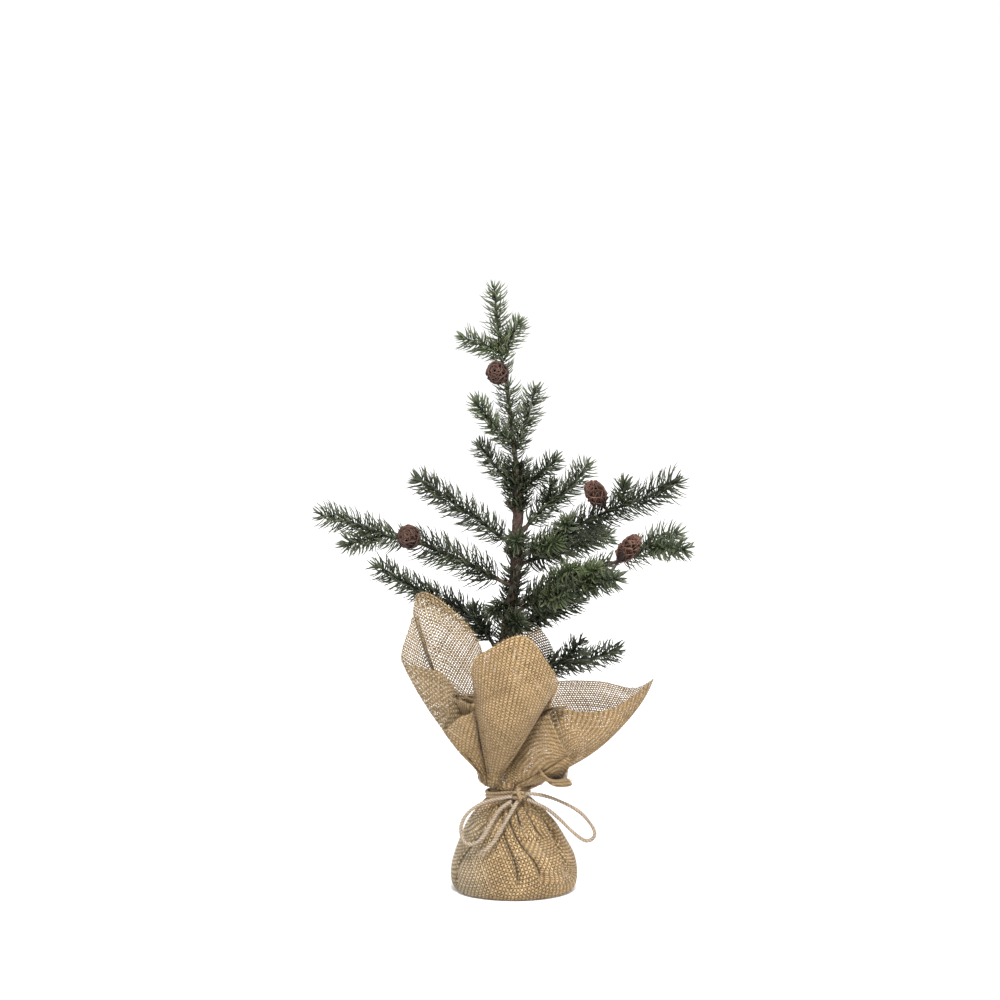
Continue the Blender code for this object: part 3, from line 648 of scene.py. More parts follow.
def cloth_table():
    """Every level of the cloth as points, with the flat radius of the levels below the neck."""
    rows = pouch_levels()
    flaps = flap_levels(rows[-1][0] + NECK_TALL, 60)
    table, radii = [], []
    for flat_radius, turn, radius, height in rows:
        lean = min(1.0, max(0.0, (height - 30) / 52))
        centre = POUCH_CENTRE + (NECK_CENTRE[0] - POUCH_CENTRE) * lean
        angle = np.radians(turn)
        table.append(np.stack([centre + radius * np.cos(angle), radius * np.sin(angle),
                               np.full(COLUMNS, height)], 1))
        radii.append(flat_radius)
    centre = np.array(NECK_CENTRE)
    lower, upper = table[-1][:, :2] - centre, flaps[0][:, :2] - centre
    low_angle, high_angle = np.arctan2(lower[:, 1], lower[:, 0]), np.arctan2(upper[:, 1], upper[:, 0])
    twist = (high_angle - low_angle + math.pi) % (2 * math.pi) - math.pi
    low_radius, high_radius = np.linalg.norm(lower, axis=1), np.linalg.norm(upper, axis=1)
    for share in (0.2, 0.4, 0.6, 0.8):
        angle = low_angle + twist * smoothstep(share)
        radius = low_radius + (high_radius - low_radius) * share
        table.append(np.stack([centre[0] + radius * np.cos(angle), centre[1] + radius * np.sin(angle),
                               np.full(COLUMNS, NECK_LOW + NECK_TALL * share)], 1))
        radii.append(rows[-1][0] + NECK_TALL * share)
    radii.append(rows[-1][0] + NECK_TALL)
    below = len(table)
    table = np.array(table + flaps)
    for _ in range(3):
        table = 0.25 * np.roll(table, 1, 1) + 0.5 * table + 0.25 * np.roll(table, -1, 1)
    for _ in range(2):
        table[1:-1] = 0.25 * table[:-2] + 0.5 * table[1:-1] + 0.25 * table[2:]
    return table, np.array(radii), below, len(flaps)


def cloth_points(u, v):
    """The gathered cloth's points at flat places u and v on the square."""
    table, radii, below, levels = cloth_table()
    flat = np.hypot(u, v)
    polar = np.degrees(np.arctan2(v, u))
    reach = HALF_CLOTH / np.cos(np.radians((polar + 45) % 90 - 45))
    level = np.interp(flat, radii, np.arange(len(radii)))
    above = flat > radii[-1]
    share = (flat - radii[-1]) / (reach - radii[-1])
    level = np.where(above, below + share * (levels - 1), level)
    level = np.clip(level, 0, len(table) - 1.0001)
    column = ((polar + 225 - 180) % 360) / 360 * COLUMNS
    i, j = level.astype(int), column.astype(int) % COLUMNS
    a, b = (level - i)[..., None], (column - np.floor(column))[..., None]
    near, after = table[i, j], table[i, (j + 1) % COLUMNS]
    up, up_after = table[i + 1, j], table[i + 1, (j + 1) % COLUMNS]
    points = (near * (1 - b) + after * b) * (1 - a) + (up * (1 - b) + up_after * b) * a
    small = flat < radii[0]
    turn = np.radians(polar[small] + 223)
    points[small] = np.stack([POUCH_CENTRE + flat[small] * np.cos(turn), flat[small] * np.sin(turn),
                              np.full(small.sum(), LOWEST)], -1)
    return points


def yarns(name, points, across, over, rng, extra):
    """One set of parallel yarns as arched ribbons. Yarn i runs along the second axis of the grid of points."""
    count, stations, _ = points.shape
    ahead = unit(np.gradient(points, axis=1))
    side = across - ahead * (across * ahead).sum(-1, keepdims=True)
    spacing = np.linalg.norm(side, axis=-1, keepdims=True)
    side = side / np.maximum(spacing, 1e-6)
    up = unit(np.cross(ahead, side))
    thick = YARN * rng.normal(1, 0.09, (count, 1, 1)).clip(0.75, 1.3)
    slub = 1 + 0.22 * (smooth_noise(rng, count, stations, 9))[..., None]
    # Yarns are wider high on the front and right and low behind, so that less shows through between them.
    front = smoothstep((-points[..., 1:2] - 14) / 16) * smoothstep((points[..., 2:] - 100) / 35)
    right = smoothstep((4 - points[..., 1:2]) / 14) * smoothstep((points[..., :1] - 15) / 20)
    front = np.maximum(front, 0.6 * right * smoothstep((points[..., 2:] - 95) / 25))
    half = 0.5 * thick * slub * np.clip(spacing / PITCH, 0.12, 1.06 + 0.4 * front)
    hidden = smoothstep((points[..., 1:2] + 8) / 18) * smoothstep((95 - points[..., 2:]) / 20)
    half = half * (1 + 0.44 * front + 0.35 * hidden)
    wave = over[..., None] * up * 0.40
    drift = side * (0.16 * smooth_noise(rng, count, stations, 14))[..., None] * np.clip(spacing / PITCH, 0, 1)
    middle = points + wave + drift
    rows = np.stack([middle - side * half, middle + up * 0.30 * np.sign(extra), middle + side * half], 2)
    pouch = smoothstep((92 - points[..., 2]) / 14)
    # Lighter where a yarn passes over a crossing and darker where it passes under: painted light and shade at the
    # crossings.
    tone = (0.50 + rng.normal(0, 0.035, (count, 1)) + 0.06 * smooth_noise(rng, count, stations, 12)
            + over * (0.19 + 0.05 * pouch))
    bands = np.repeat(smooth_noise(rng, 1, count, 10).reshape(count, 1), stations, 1)
    tone = tone + 0.03 + 0.02 * bands + 0.06 * pouch
    # A painted sheen: the cloth low on the pouch's left and high on the left flap is greyed and lifted.
    painted_sheen = 0.8 * smoothstep((-points[..., 0] - 12) / 24) * smoothstep((88 - points[..., 2]) / 20)
    painted_sheen = painted_sheen + 0.5 * smoothstep((-points[..., 0] - 34) / 20) * smoothstep((points[..., 2] - 120) / 20)
    # Each yarn's two edges are darker and its crown lighter, more so high on the front: painted shade between the
    # yarns and a painted highlight along them.
    tone = (np.repeat(tone[..., None], 3, 2) + np.array([-0.20, 0.08, -0.20])
            + front * np.array([-0.20, 0.10, -0.20]))
    every = copied(grid_faces(stations, 3), count, stations * 3)
    return make_mesh(name, rows.reshape(-1, 3), every, BURLAP,
                     {"tone": tone.reshape(-1), "painted_sheen": np.repeat(painted_sheen.reshape(-1), 3)})


def smooth_noise(rng, rows, columns, length):
    """Noise from -1 to 1 that changes slowly along each row."""
    coarse = rng.uniform(-1, 1, (rows, columns // length + 3))
    at = np.arange(columns) / length
    i = at.astype(int)
    t = smoothstep(at - i)
    return coarse[:, i] * (1 - t) + coarse[:, i + 1] * t


def burlap():
    """The square of burlap, woven yarn by yarn along the gathered cloth, with frayed edges."""
    count = int(HALF_CLOTH / PITCH)
    place = np.arange(-count, count + 1) * PITCH
    u, v = np.meshgrid(place, place, indexing="ij")
    points = cloth_points(u, v)
    along_u, along_v = np.gradient(points, axis=0), np.gradient(points, axis=1)
    rng = np.random.default_rng(7)
    i, j = np.meshgrid(np.arange(len(place)), np.arange(len(place)), indexing="ij")
    over = np.where((i + j) % 2 == 0, 1.0, -1.0)
    warp = yarns("burlap_warp", points, along_u, over, rng, 1)
    turned = points.transpose(1, 0, 2)
    weft = yarns("burlap_weft", turned, along_v.transpose(1, 0, 2), over.T, rng, -1)
    cloth = joined("burlap_cloth", [warp, weft])
    fringe = edge_fringe("burlap_fringe", points, rng)
    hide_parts("burlap_wrap")
    for obj in (cloth, fringe):
        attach(obj, "base")


def edge_fringe(name, points, rng):
    """The yarn ends that stand past the last crossing, and stray fibres along the cloth's cut edge."""
    starts, aheads = [], []
    for grid in (points, points.transpose(1, 0, 2)):
        for last, inner in ((grid[:, 0], grid[:, 2]), (grid[:, -1], grid[:, -3])):
            for _ in range(2):
                starts.append(last + rng.normal(0, 0.3, last.shape))
                aheads.append(unit(last - inner))
    start, ahead = np.vstack(starts), np.vstack(aheads)
    reach = rng.uniform(0.4, 2.6, (len(start), 1))
    middle = start + ahead * reach * 0.5 + rng.normal(0, 0.25, start.shape)
    end = middle + ahead * reach * 0.5 + rng.normal(0, 0.7, start.shape)
    return hairs(name, [start, middle, end], rng, 0.45, BURLAP)


# Trunk, branches and needles

TRUNK = [(0, 0, 8), (0, 0, 60), (-3, 0, 120), (-5.5, 0, 200), (-3, 0, 232), (1, 0, 250), (4, 0, 311), (3, 0, 346)]
BARK_FOOT = 31.3
# Each branch: its route from the trunk, and its sprigs as start, end, paleness and needle length.
BRANCHES = {
    "left_upper": ([(-3.8, 2, 285), (-25, 10, 300), (-51, 18, 317), (-82, 30, 335.5), (-88, 32, 339)],
                   [("sprig_left_upper", 9, 91, 0.15, 1.24)]),
    "left_middle": ([(-5.6, -1.5, 252), (-35, -7, 268.5), (-61, -13, 281.5), (-84, -18, 291), (-100, -22, 294),
                     (-125, -26, 304), (-147, -29, 311), (-163, -31, 314.5)],
                    [("sprig_left_middle_inner", 12, 78, 0.02, 1.46),
                     ("sprig_left_middle_tip", 93, 164, 0.42, 1.08)]),
    "left_lower": ([(-11.8, 5, 191), (-18, 13, 203), (-34, 28, 220), (-55, 42, 230), (-86, 58, 241.5),
                    (-109, 68, 253.5), (-120, 72, 256)],
                   [("sprig_left_lower_inner", 22, 84, 0.0, 1.1),
                    ("sprig_left_lower_tip", 84, 138, 0.12, 1.1)]),
    "right_top": ([(9.6, 2.6, 296.5), (24, 8, 311.5), (44, 15, 326), (58, 20, 343), (62, 22, 351)],
                  [("sprig_right_top", 9, 74, 0.5, 1.08)]),
    "right_upper": ([(8.8, -0.5, 275), (33, -2, 289.5), (51.5, -4, 299.5), (79.5, -6, 313), (107, -8, 323.5),
                     (121, -9, 331), (141, -10, 340.5)],
                    [("sprig_right_upper_inner", 10, 36, 0.1, 1.15),
                     ("sprig_right_upper_tip", 42, 137, 0.02, 1.40)]),
    "right_inner": ([(7.2, 4.6, 267.5), (20, 15, 270), (47, 38, 276), (68, 54, 279), (86, 66, 282)],
                    [("sprig_right_inner", 10, 92, 0.25, 1.1)]),
    "right_middle": ([(5.6, -3, 236.5), (28, -13, 251), (52, -23, 262.5), (70, -31, 270), (99, -44, 284),
                      (113, -50, 294), (144, -64, 308)],
                     [("sprig_right_middle_inner", 11, 86, 0.3, 1.1),
                      ("sprig_right_middle_tip", 103, 152, 0.85, 1.12)]),
    "right_front": ([(3.1, -4.8, 229), (18, -17, 241), (38, -34, 250.5), (67, -60, 262.5), (77, -69, 266.5),
                     (95, -85, 275)],
                    [("sprig_right_front_inner", 14, 51, 0.2, 1.1),
                     ("sprig_right_front_tip", 51, 114, 0.45, 1.05)]),
    "right_lower": ([(1.4, 1.6, 215), (16, 4.5, 222), (31, 7.5, 227), (45, 10, 232.5), (57, 12, 239)],
                    [("sprig_right_lower", 9, 58, 0.0, 1.1)]),
    "right_bottom": ([(3, 3, 163.5), (17, 12, 174), (35, 24, 181), (58, 36, 182.5), (76, 44, 186), (94, 51, 192)],
                     [("sprig_right_bottom", 17, 99, 0.2, 1.15)]),
    "leader": ([(2.8, 0, 350), (0.5, 0, 362), (-3.2, 0, 399), (-5.5, 0, 414), (-9.8, 0, 441), (-15.5, 0, 494)],
               [("sprig_leader_lower", 6, 64, 0.6, 1.0), ("sprig_leader_tip", 76, 144, 1.0, 0.95)]),
}
# Side shoots on a sprig: sprig, start, end, paleness.
SHOOTS = [
    ("sprig_left_middle_tip", (-104, -22.7, 295.5), (-134, -40, 290), 0.35),
    ("sprig_right_top", (27, 9.2, 314), (31, 3, 332), 0.4),
    ("sprig_right_upper_tip", (88, -6.6, 316.3), (90, 4, 334), 0.2),
    ("sprig_right_middle_tip", (106, -47, 289), (137, -77, 292.5), 0.5),
    ("sprig_right_front_tip", (55, -49, 257.5), (66, -68, 276), 1.3),
    ("sprig_right_bottom", (40, 26.6, 181.5), (55, 22.4, 200), 0.1),
    ("sprig_leader_tip", (-9.5, 0, 439), (-40, -7.2, 453), 0.95),
    ("sprig_leader_tip", (-9.2, 0, 437), (5, 5.6, 464), 0.95),
    ("sprig_right_upper_inner", (17, -1.5, 281), (36, -18, 289), 1.2),
    ("sprig_right_middle_inner", (28, -13, 251), (47, -36, 270), 1.25),
    ("sprig_right_middle_inner", (52, -24, 262), (66, -47, 268), 1.6),
    ("sprig_right_front_inner", (24, -22, 244), (40, -42, 248), 1.1),
    ("sprig_right_inner", (27, 21, 271.5), (43, 8, 291), 0.25),
    ("sprig_right_inner", (46, 37, 276), (70, 26, 293), 0.3),
    ("sprig_right_lower", (17, 5, 222.5), (29, -14, 234), 0.15),
]
# Short sprigs with a stem of their own: sprig, body, start, end, paleness.
SHORT_SPRIGS = [
    ("sprig_leader_left", "leader", (-2.5, -1.0, 366), (-30, -11.2, 402), 0.6),
    ("sprig_leader_right", "leader", (1.6, 1.6, 361), (18.4, 9.7, 409), 0.6),
    ("sprig_trunk_left", "base", (1.6, 0.6, 329), (-27, 9.5, 364), 0.25),
    ("sprig_trunk_right", "base", (6.5, -0.6, 330), (34.5, -9.2, 355), 0.25),
    ("sprig_trunk_front_upper", "base", (3.4, -4.0, 288), (2.6, -18, 291), 0.35),
    ("sprig_trunk_front_lower", "base", (-4.0, -3.0, 236), (-17.5, -17.5, 232.5), 0.1),
    ("sprig_trunk_front_dark", "base", (-3.0, -4, 220), (5.5, -20, 225.5), 0.0),
    ("sprig_left_lower_side", "left_lower", (-19, 10.5, 204), (-32, 6.4, 231), 0.1),
    ("sprig_right_upper_front", "right_upper", (41.3, -4.2, 294), (42.8, -20, 306.5), 0.4),
]
NEEDLE_LENGTH = 13.2
NEEDLE_WIDTH = 1.7
NEEDLES_PER_MM = 3.2
NEEDLE_LEAN = 76           # degrees from the shoot at a needle's foot


def along_route(route, low, high, step=1.0):
    """The stretch of a smooth route between two distances."""
    line = spline(route, 0.5)
    at = distances(line)
    high = min(high, at[-1])
    return sampled(np.linspace(low, high, max(3, int((high - low) / step) + 1)), at, line)


def needles_on(line, pale, rng, foot_radius, tip_radius=0.75, per_mm=NEEDLES_PER_MM, tipped=True, longer=1.0):
    """The needles of one shoot: flat tapering blades in a spiral that lean and curve towards its tip."""
    ahead, side, up = transported(line)
    gaps = np.linalg.norm(np.diff(line, axis=0), axis=1)
    length = gaps.sum()
    at = np.concatenate([[0], np.cumsum(gaps)])
    count = int(length * per_mm)
    place = np.sort(rng.uniform(0, 1, count) * 0.35 + np.arange(count)) / count * length
    place = np.clip(place, 0, length)
    base, forward, sideways, upward = (sampled(place, at, field) for field in (line, ahead, side, up))
    turn = (GOLDEN * np.arange(count) + rng.normal(0, 0.28, count))[:, None]
    out = unit(sideways * np.cos(turn) + upward * np.sin(turn))
    share = place / length
    reach = NEEDLE_LENGTH * longer * rng.normal(1, 0.10, count).clip(0.7, 1.2)
    lean = np.radians(rng.normal(NEEDLE_LEAN, 10, count))
    if tipped:
        last = smoothstep((place - (length - 6)) / 6)
        reach = reach * (1 - 0.38 * last)
        lean = lean * (1 - 0.50 * last)
    reach = reach * (0.82 + 0.18 * smoothstep(place / 9))
    curl = np.radians(rng.normal(46, 11, count)) * (lean / math.radians(NEEDLE_LEAN))
    radius = foot_radius + (tip_radius - foot_radius) * share
    stations = 6
    spots = [base + out * (radius * 0.75)[:, None]]
    angle = lean.copy()
    bend = unit(np.cross(forward, out)) * rng.normal(0, 0.10, count)[:, None]
    directions = []
    for k in range(stations - 1):
        heading = unit(forward * np.cos(angle)[:, None] + out * np.sin(angle)[:, None] + bend * k)
        directions.append(heading)
        spots.append(spots[-1] + heading * (reach / (stations - 1))[:, None])
        angle = angle - curl / (stations - 1)
    directions.append(directions[-1])
    path, heading = np.stack(spots, 1), np.stack(directions, 1)
    tilt = rng.normal(0, 0.35, count)[:, None, None]
    wide = unit(np.cross(forward, out))[:, None] * np.cos(tilt) + out[:, None] * np.sin(tilt)
    wide = unit(wide - heading * (wide * heading).sum(-1, keepdims=True))
    thick = np.cross(heading, wide)
    profile = np.array([0.62, 0.98, 1.0, 0.92, 0.66, 0.14])[None, :, None]
    width = NEEDLE_WIDTH / 2 * rng.normal(1, 0.1, count).clip(0.75, 1.25)[:, None, None] * profile
    rim = [path + wide * width, path + thick * width * 0.5, path - wide * width, path - thick * width * 0.5]
    points = np.stack(rim, 2).reshape(-1, 3)
    blade = stations * 4
    faces = np.vstack([grid_faces(stations, 4, closed=True), [[blade - 4, blade - 3, blade - 2, blade - 1]]])
    every = copied(faces, count, blade)
    shades = np.repeat(rng.uniform(0.75, 1.05, count), blade)
    tone = np.tile(np.repeat(np.linspace(0, 1, stations), 4), count) * shades
    patch = 0.55 * np.maximum(smooth_noise(rng, 1, count, 36)[0], 0)
    drift = pale + rng.normal(0, 0.13, count) + 0.25 * (share - 0.5) + patch
    age = np.repeat(drift.clip(pale > 1, 1.8), blade)
    return points, every, tone, age


def stem_of(line, rng, foot_radius, tip_radius, sides=10):
    """A shoot's moulded stem with the small bumps that its needles stand on, closed at its tip."""
    angle, ring, _ = rings_round(line, sides)
    share = np.linspace(0, 1, len(line))[:, None]
    bumps = rng.normal(0, 0.13, (len(line), sides)) + 0.12 * np.sin(angle * 3 + share * len(line) * 0.9)
    radius = (foot_radius + (tip_radius - foot_radius) * share) * (1 + bumps)
    radius[-1] *= 0.35
    return (line[:, None] + ring * radius[..., None]).reshape(-1, 3), tube_faces(len(line), sides)


def sprig_piece(node, shoots, seed):
    """One sprig, with every shoot's stem and needles. A shoot is its line, paleness, foot radius and options."""
    rng = np.random.default_rng(seed)
    points, faces, tone, age = [], [], [], []
    start = 0
    for line, pale, foot, options in shoots:
        blades, quads, blade_tone, blade_age = needles_on(line, pale, rng, foot_radius=foot, **options)
        stem, stem_faces = stem_of(line, rng, foot, options.get("tip_radius", 0.6))
        for block, block_faces, block_tone, block_age in (
                (blades, quads.tolist(), blade_tone, blade_age),
                (stem, stem_faces, np.full(len(stem), 0.10), np.full(len(stem), pale))):
            faces += [[i + start for i in face] for face in block_faces]
            points.append(block)
            tone.append(block_tone)
            age.append(block_age)
            start += len(block)
    obj = make_mesh(node.replace("sprig_", "needles_"), np.vstack(points), faces, NEEDLE,
                    {"tone": np.concatenate(tone), "age": np.concatenate(age)})
    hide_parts(node)
    return obj


def tuft(low, high, pale, radius, per_mm):
    """Needles that stand straight on a stretch of the trunk."""
    line = spline([*TRUNK, (3, 0, 356)], 1.0)
    line = line[(line[:, 2] > low) & (line[:, 2] < high)]
    return line, pale, radius, {"per_mm": per_mm, "tipped": False, "tip_radius": radius * 0.8}


TAPE_PITCH = 3.4           # of the spiral wrap
KNUCKLE_RADIUS = 2.5       # of the taped ball at a branch's foot


def stem_piece(name, route, length, node, seed):
    """A branch's taped wire, from the taped knuckle where it hinges: a spiral wrap that tapers."""
    rng = np.random.default_rng(seed)
    line = along_route(route, 0, length, 0.45)
    at = distances(line)
    sides = 14
    angle, ring, ahead = rings_round(line, sides)
    wrap = (at[:, None] / TAPE_PITCH + angle / (2 * math.pi)) % 1.0
    knuckle = np.sqrt(np.maximum(0, KNUCKLE_RADIUS ** 2 - at ** 2))[:, None]
    radius = 1.62 - 0.35 * (at / at[-1])[:, None] + 0.16 * wrap + rng.normal(0, 0.03, (len(line), sides))
    radius = np.maximum(radius, knuckle)
    radius[0] *= 0.9
    points = line[:, None] + ring * radius[..., None]
    caps = [line[0] - ahead[0] * behind + ring[0] * wide for behind, wide in ((5.0, 1.7), (3.0, 1.9), (1.2, 2.25))]
    rings = np.concatenate([np.array(caps), points])
    tone = np.concatenate([np.full((3, sides), 0.6), 0.35 + 0.6 * wrap])
    obj = make_mesh(name, rings.reshape(-1, 3), tube_faces(len(rings), sides), STEM, {"tone": tone.reshape(-1)})
    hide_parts(node)
    return obj


def branches():
    """Every branch with its stem and sprigs, riding on its own body."""
    seed = 100
    for body, (route, sprigs) in BRANCHES.items():
        name = "leader" if body == "leader" else "branch_" + body
        end = sprigs[-1][1] + 6
        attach(stem_piece("stem_" + body, route, end, "wire_" + body, seed), name)
        for node, low, high, pale, longer in sprigs:
            seed += 1
            tip = node == sprigs[-1][0]
            shoots = [(along_route(route, low - 4, high), pale, 1.3 if body == "leader" else 1.75,
                       {"tipped": tip, "longer": longer, "tip_radius": 0.6 if tip else 1.6,
                        "per_mm": NEEDLES_PER_MM * (0.8 if body == "leader" else 1)})]
            for host, start, stop, shade in SHOOTS:
                if host == node:
                    shoots.append((spline([start, stop], 1.0), shade, 1.05, {}))
            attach(sprig_piece(node, shoots, seed), name)
    for node, body, start, stop, pale in SHORT_SPRIGS:
        seed += 1
        name = body if body in ("base", "leader") else "branch_" + body
        middle = (np.array(start) + np.array(stop)) / 2 + (0, 0, -1.5)
        shoot = (spline([start, middle, stop], 1.0), pale, 1.15, {})
        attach(sprig_piece(node, [shoot] + TRUNK_TUFTS.get(node, []), seed), name)
    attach(sprig_piece("sprig_trunk_collar", [tuft(311, 352, 0.15, 4.2, 6.0)], seed + 9), "base")


# Needles that stand on the trunk itself and belong to the small sprigs on its front.
TRUNK_TUFTS = {
    "sprig_trunk_front_upper": [tuft(270, 291, 0.3, 3.6, 3.6)],
    "sprig_trunk_front_lower": [tuft(222, 266, 0.1, 3.8, 3.4)],
    "sprig_trunk_front_dark": [tuft(196, 224, 0.0, 3.9, 4.0)],
}


def fractal(points, scale, octaves=4):
    """Fractal noise at each point, from about -1 to 1."""
    found = np.zeros(len(points))
    for k, place in enumerate(points):
        found[k] = noise.fractal(Vector(place) * scale, 1.0, 2.1, octaves)
    return found


FOOT_RADIUS, TOP_RADIUS = 5.2, 4.1
# Knots on the bark: height, angle round the trunk in radians, size.
KNOTS = [(316, 3.4, 2.0), (283, 3.0, 2.3), (262, 4.4, 1.6), (296, 5.4, 1.5), (245, 1.2, 1.8)]


def trunk():
    """The bark: a ridged skin with knots, cracks and the stubs of cut twigs."""
    line = spline(TRUNK, 1.15)
    line = line[line[:, 2] > BARK_FOOT]
    sides = 44
    angle, ring, _ = rings_round(line, sides)
    share = np.linspace(0, 1, len(line))[:, None]
    radius = FOOT_RADIUS + (TOP_RADIUS - FOOT_RADIUS) * share + 0 * angle
    skin = (line[:, None] + ring * radius[..., None]).reshape(-1, 3)
    stretched = skin * np.array([1, 1, 0.42])
    coarse = fractal(stretched, 0.42)
    cracks = np.abs(fractal(stretched + 40, 0.75, 3))
    rough = fractal(skin + 90, 1.7, 2)
    lift = 0.75 * coarse - 0.95 * np.exp(-(cracks / 0.09) ** 2) + 0.28 * rough
    for height, around, size in KNOTS:
        off = (angle - around + math.pi) % (2 * math.pi) - math.pi
        spot = np.exp(-((line[:, 2] - height)[:, None] / 4.0) ** 2 - off ** 2 / 0.35)
        lift = lift + size * spot.reshape(-1)
    points = skin + (ring.reshape(-1, 3)) * lift[:, None]
    tone = 0.62 + 0.42 * coarse - 0.75 * np.exp(-(cracks / 0.07) ** 2) + 0.15 * rough
    # A painted sheen: the lower trunk's left-facing side is made pale grey.
    painted_sheen = smoothstep((226 - skin[:, 2]) / 8) * smoothstep((0.3 - ring.reshape(-1, 3)[:, 0]) / 0.6)
    bark = make_mesh("trunk_bark_skin", points, tube_faces(len(line), sides), BARK,
                     {"tone": tone.clip(0, 1), "painted_sheen": painted_sheen})
    stubs = [stub(f"stub_{k}", *spec, seed=200 + k) for k, spec in enumerate(STUBS)]
    bark = joined("trunk_bark_skin", [bark, *stubs])
    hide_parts("trunk_bark")
    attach(bark, "base")


# Stubs of cut twigs on the trunk: start, end, radius.
STUBS = [
    ((1.0, -2.0, 313), (-5.6, -3.0, 319.5), 1.7), ((0, -2, 276), (-6.4, -3.4, 282), 1.6),
    ((1.5, -2, 262), (6.6, -5.6, 266.5), 1.5), ((2.0, 1.0, 292), (4.6, 6.4, 297), 1.6),
    ((-3.5, 0, 205), (-4.5, 6.4, 211), 1.7), ((-2, -1, 243), (-6.4, 2.4, 248), 1.5),
]


def stub(name, start, end, radius, seed):
    """One cut twig: a short rough stump with a flat, paler end."""
    rng = np.random.default_rng(seed)
    line = spline([start, end], 0.7)
    sides = 12
    _, ring, ahead = rings_round(line, sides)
    taper = 1.25 - 0.35 * np.linspace(0, 1, len(line))[:, None]
    size = radius * taper * (1 + rng.normal(0, 0.07, (len(line), sides)))
    points = (line[:, None] + ring * size[..., None]).reshape(-1, 3)
    rim = points[-sides:] * 0.35 + line[-1] * 0.65 - ahead[-1] * 0.25
    points = np.vstack([points, rim])
    faces = grid_faces(len(line) + 1, sides, closed=True).tolist()
    faces.append([len(line) * sides + k for k in range(sides)])
    tone = np.concatenate([np.full(len(line) * sides, 0.55), np.full(sides, 0.95)])
    return make_mesh(name, points, faces, BARK, {"tone": tone})


# Cones

# Each cone: node, body, centre, the direction that its tip points, its stalk, width and length factors, paleness.
CONES = [
    ("cone_leader", "leader", (-12, -13.5, 425), (-0.25, -0.9, 0.3), 2, (1.14, 1.12), -0.20),
    ("cone_left_middle", "branch_left_middle", (-83, -30, 294.5), (-0.15, -0.9, 0.35), 2, (1.2, 1.2), -0.20),
    ("cone_right_upper", "branch_right_upper", (67, -14, 326.5), (-0.50, -0.40, 0.76), 6, (1.08, 1.2), 0.26),
    ("cone_right_middle", "branch_right_middle", (91, -53.5, 288), (0.55, -0.30, 0.78), 8, (0.98, 1.34), 0.30),
]
CONE_LENGTH = 20.0
CONE_SCALES = 44


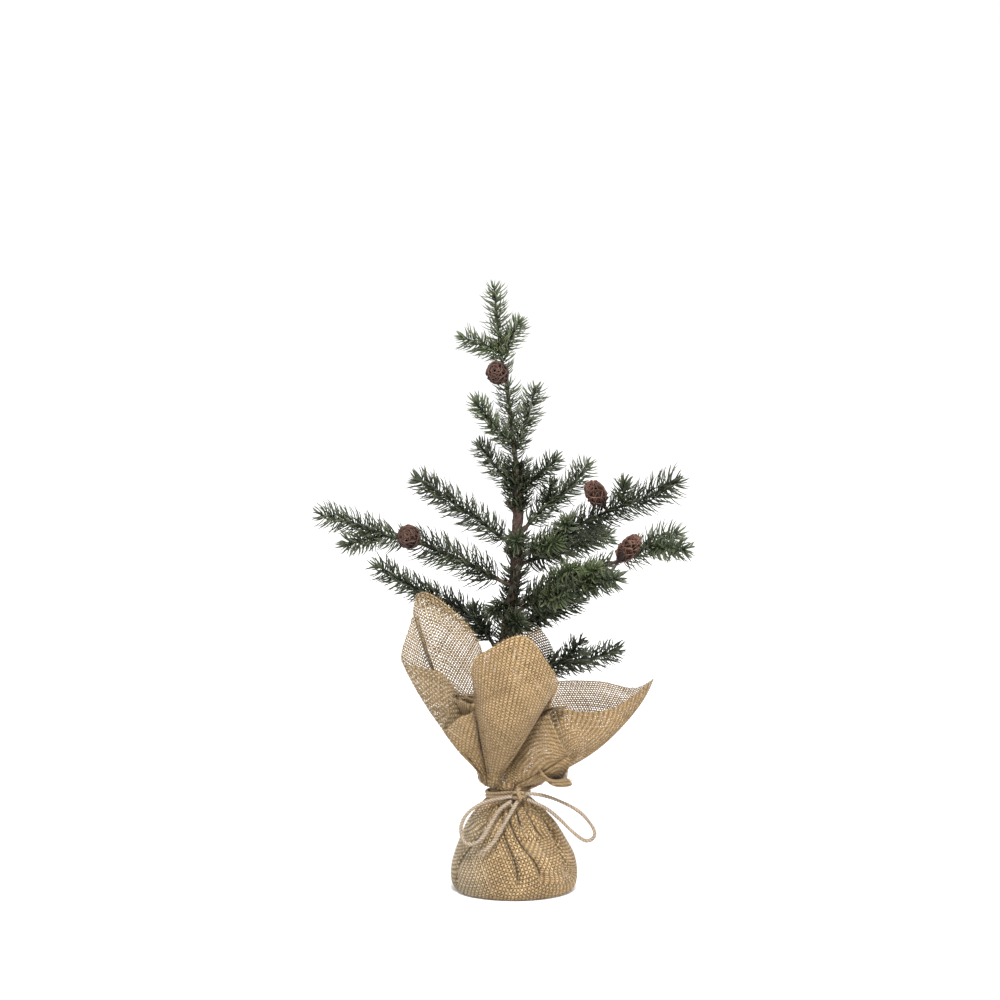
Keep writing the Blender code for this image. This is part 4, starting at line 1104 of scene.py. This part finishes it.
def cone(node, body, centre, direction, stalk, size, bright, seed):
    """An open cone: thick curled scales in a spiral round a core, on a short stalk."""
    rng = np.random.default_rng(seed)
    points, faces, tone = [], [], []
    start = 0
    across, along = 7, 6
    for k in range(CONE_SCALES):
        share = (k + 0.5) / CONE_SCALES
        height = CONE_LENGTH * (-0.47 + 0.90 * share ** 0.92)
        swell = math.sin(math.pi * (0.20 + 0.76 * share)) ** 0.7
        reach = 10.6 * swell * rng.uniform(0.93, 1.07) * (1.0 - 0.25 * share)
        wide = (5.0 * swell + 1.0) * rng.uniform(0.9, 1.1)
        open_angle = math.radians(56 - 44 * share + rng.normal(0, 5))
        turn = GOLDEN * k + rng.normal(0, 0.05)
        out = np.array([math.cos(turn), math.sin(turn), 0])
        sideways = np.array([-math.sin(turn), math.cos(turn), 0])
        upward = np.array([0, 0, 1.0])
        s = np.linspace(0, 1, along)
        path = np.zeros((along, 3))
        angle = open_angle
        spot = out * 0.9 + upward * height
        for i in range(along):
            path[i] = spot
            spot = spot + (out * math.sin(angle) + upward * math.cos(angle)) * reach / (along - 1)
            angle += math.radians(9 if i > 2 else -6)
        heading = unit(np.gradient(path, axis=0))
        normal = np.cross(heading, sideways)
        outline = np.array([0.45, 0.72, 0.95, 1.05, 0.92, 0.48]) * wide
        q = np.linspace(-1, 1, across)
        tip = np.cos(q * math.pi / 2) * 1.3 + rng.normal(0, 0.22, across)
        cup = -(q ** 2) * 0.8
        surface = path[:, None] + sideways * (outline[:, None] * q[None])[..., None]
        surface = surface + normal[:, None] * (cup[None] * s[:, None])[..., None]
        surface = surface + heading[:, None] * ((tip[None] - 0.5) * (s[:, None] ** 3))[..., None]
        thick = (0.22 + 0.28 * s)[:, None, None] * (1 - 0.5 * q[None, :, None] ** 2)
        top = surface + normal[:, None] * thick
        bottom = surface - normal[:, None] * thick * 0.5
        points += [top.reshape(-1, 3), bottom.reshape(-1, 3)]
        blade = across * along
        up_faces = grid_faces(along, across)
        rim = [i * across for i in range(along)] + [(along - 1) * across + j for j in range(1, across)]
        rim += [i * across + across - 1 for i in range(along - 2, -1, -1)] + list(range(across - 2, 0, -1))
        edge = [[a, b, b + blade, a + blade] for a, b in zip(rim, rim[1:] + rim[:1])]
        block = up_faces.tolist() + (up_faces[:, ::-1] + blade).tolist() + edge
        faces += [[i + start for i in face] for face in block]
        down = s[:, None]
        shade = 0.08 + bright + 0.26 * down ** 2 + 0.44 * down ** 8 + 0.12 * np.abs(q[None]) ** 3 * down
        shade = shade + rng.normal(0, 0.07)
        tone += [shade.reshape(-1), shade.reshape(-1) * 0.6 + 0.16]
        start += 2 * blade
    heights = (-CONE_LENGTH / 2 - stalk, -CONE_LENGTH / 2, 0, CONE_LENGTH * 0.42)
    core = spline([(0, 0, height) for height in heights], 0.8)
    sides = 12
    _, ring, _ = rings_round(core, sides)
    share = ((core[:, 2] / CONE_LENGTH + 0.5) / 0.92).clip(0, 1)
    radius = (1.1 + 4.6 * np.sin(math.pi * share) ** 0.6)[:, None]
    points.append((core[:, None] + ring * radius[..., None]).reshape(-1, 3))
    faces += (grid_faces(len(core), sides, closed=True) + start).tolist()
    tone.append(np.repeat(0.3 - 0.25 * (share > 0), sides))
    turned = np.array(Vector(direction).to_track_quat("Z", "Y").to_matrix())
    placed = np.vstack(points) * [size[0], size[0], size[1]] @ turned.T + np.array(centre)
    obj = make_mesh(node + "_scales", placed, faces, SCALE, {"tone": np.concatenate(tone).clip(0, 1)})
    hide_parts(node)
    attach(obj, body)


def carried_over():
    """Better finishes for the CAD pieces that stay: the pot, its cement and the trunk's steel core."""
    finishes = {
        "pot": plain_material("moulded_pot", (0.022, 0.022, 0.023), (0.034, 0.034, 0.035), 90, 0.45, 0.0001),
        "cement_weight": plain_material("cast_cement", (0.42, 0.41, 0.39), (0.60, 0.59, 0.56), 160, 0.95, 0.0006),
        "trunk_core": plain_material("drawn_steel", (0.36, 0.36, 0.37), (0.46, 0.46, 0.47), 300, 0.38, 0.00005, 1.0),
    }
    for node, finish in finishes.items():
        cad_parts[node].material_slots[0].material = finish


band = twine_pieces()
burlap()
branches()
trunk()
for number, spec in enumerate(CONES):
    cone(*spec, seed=300 + number)
carried_over()
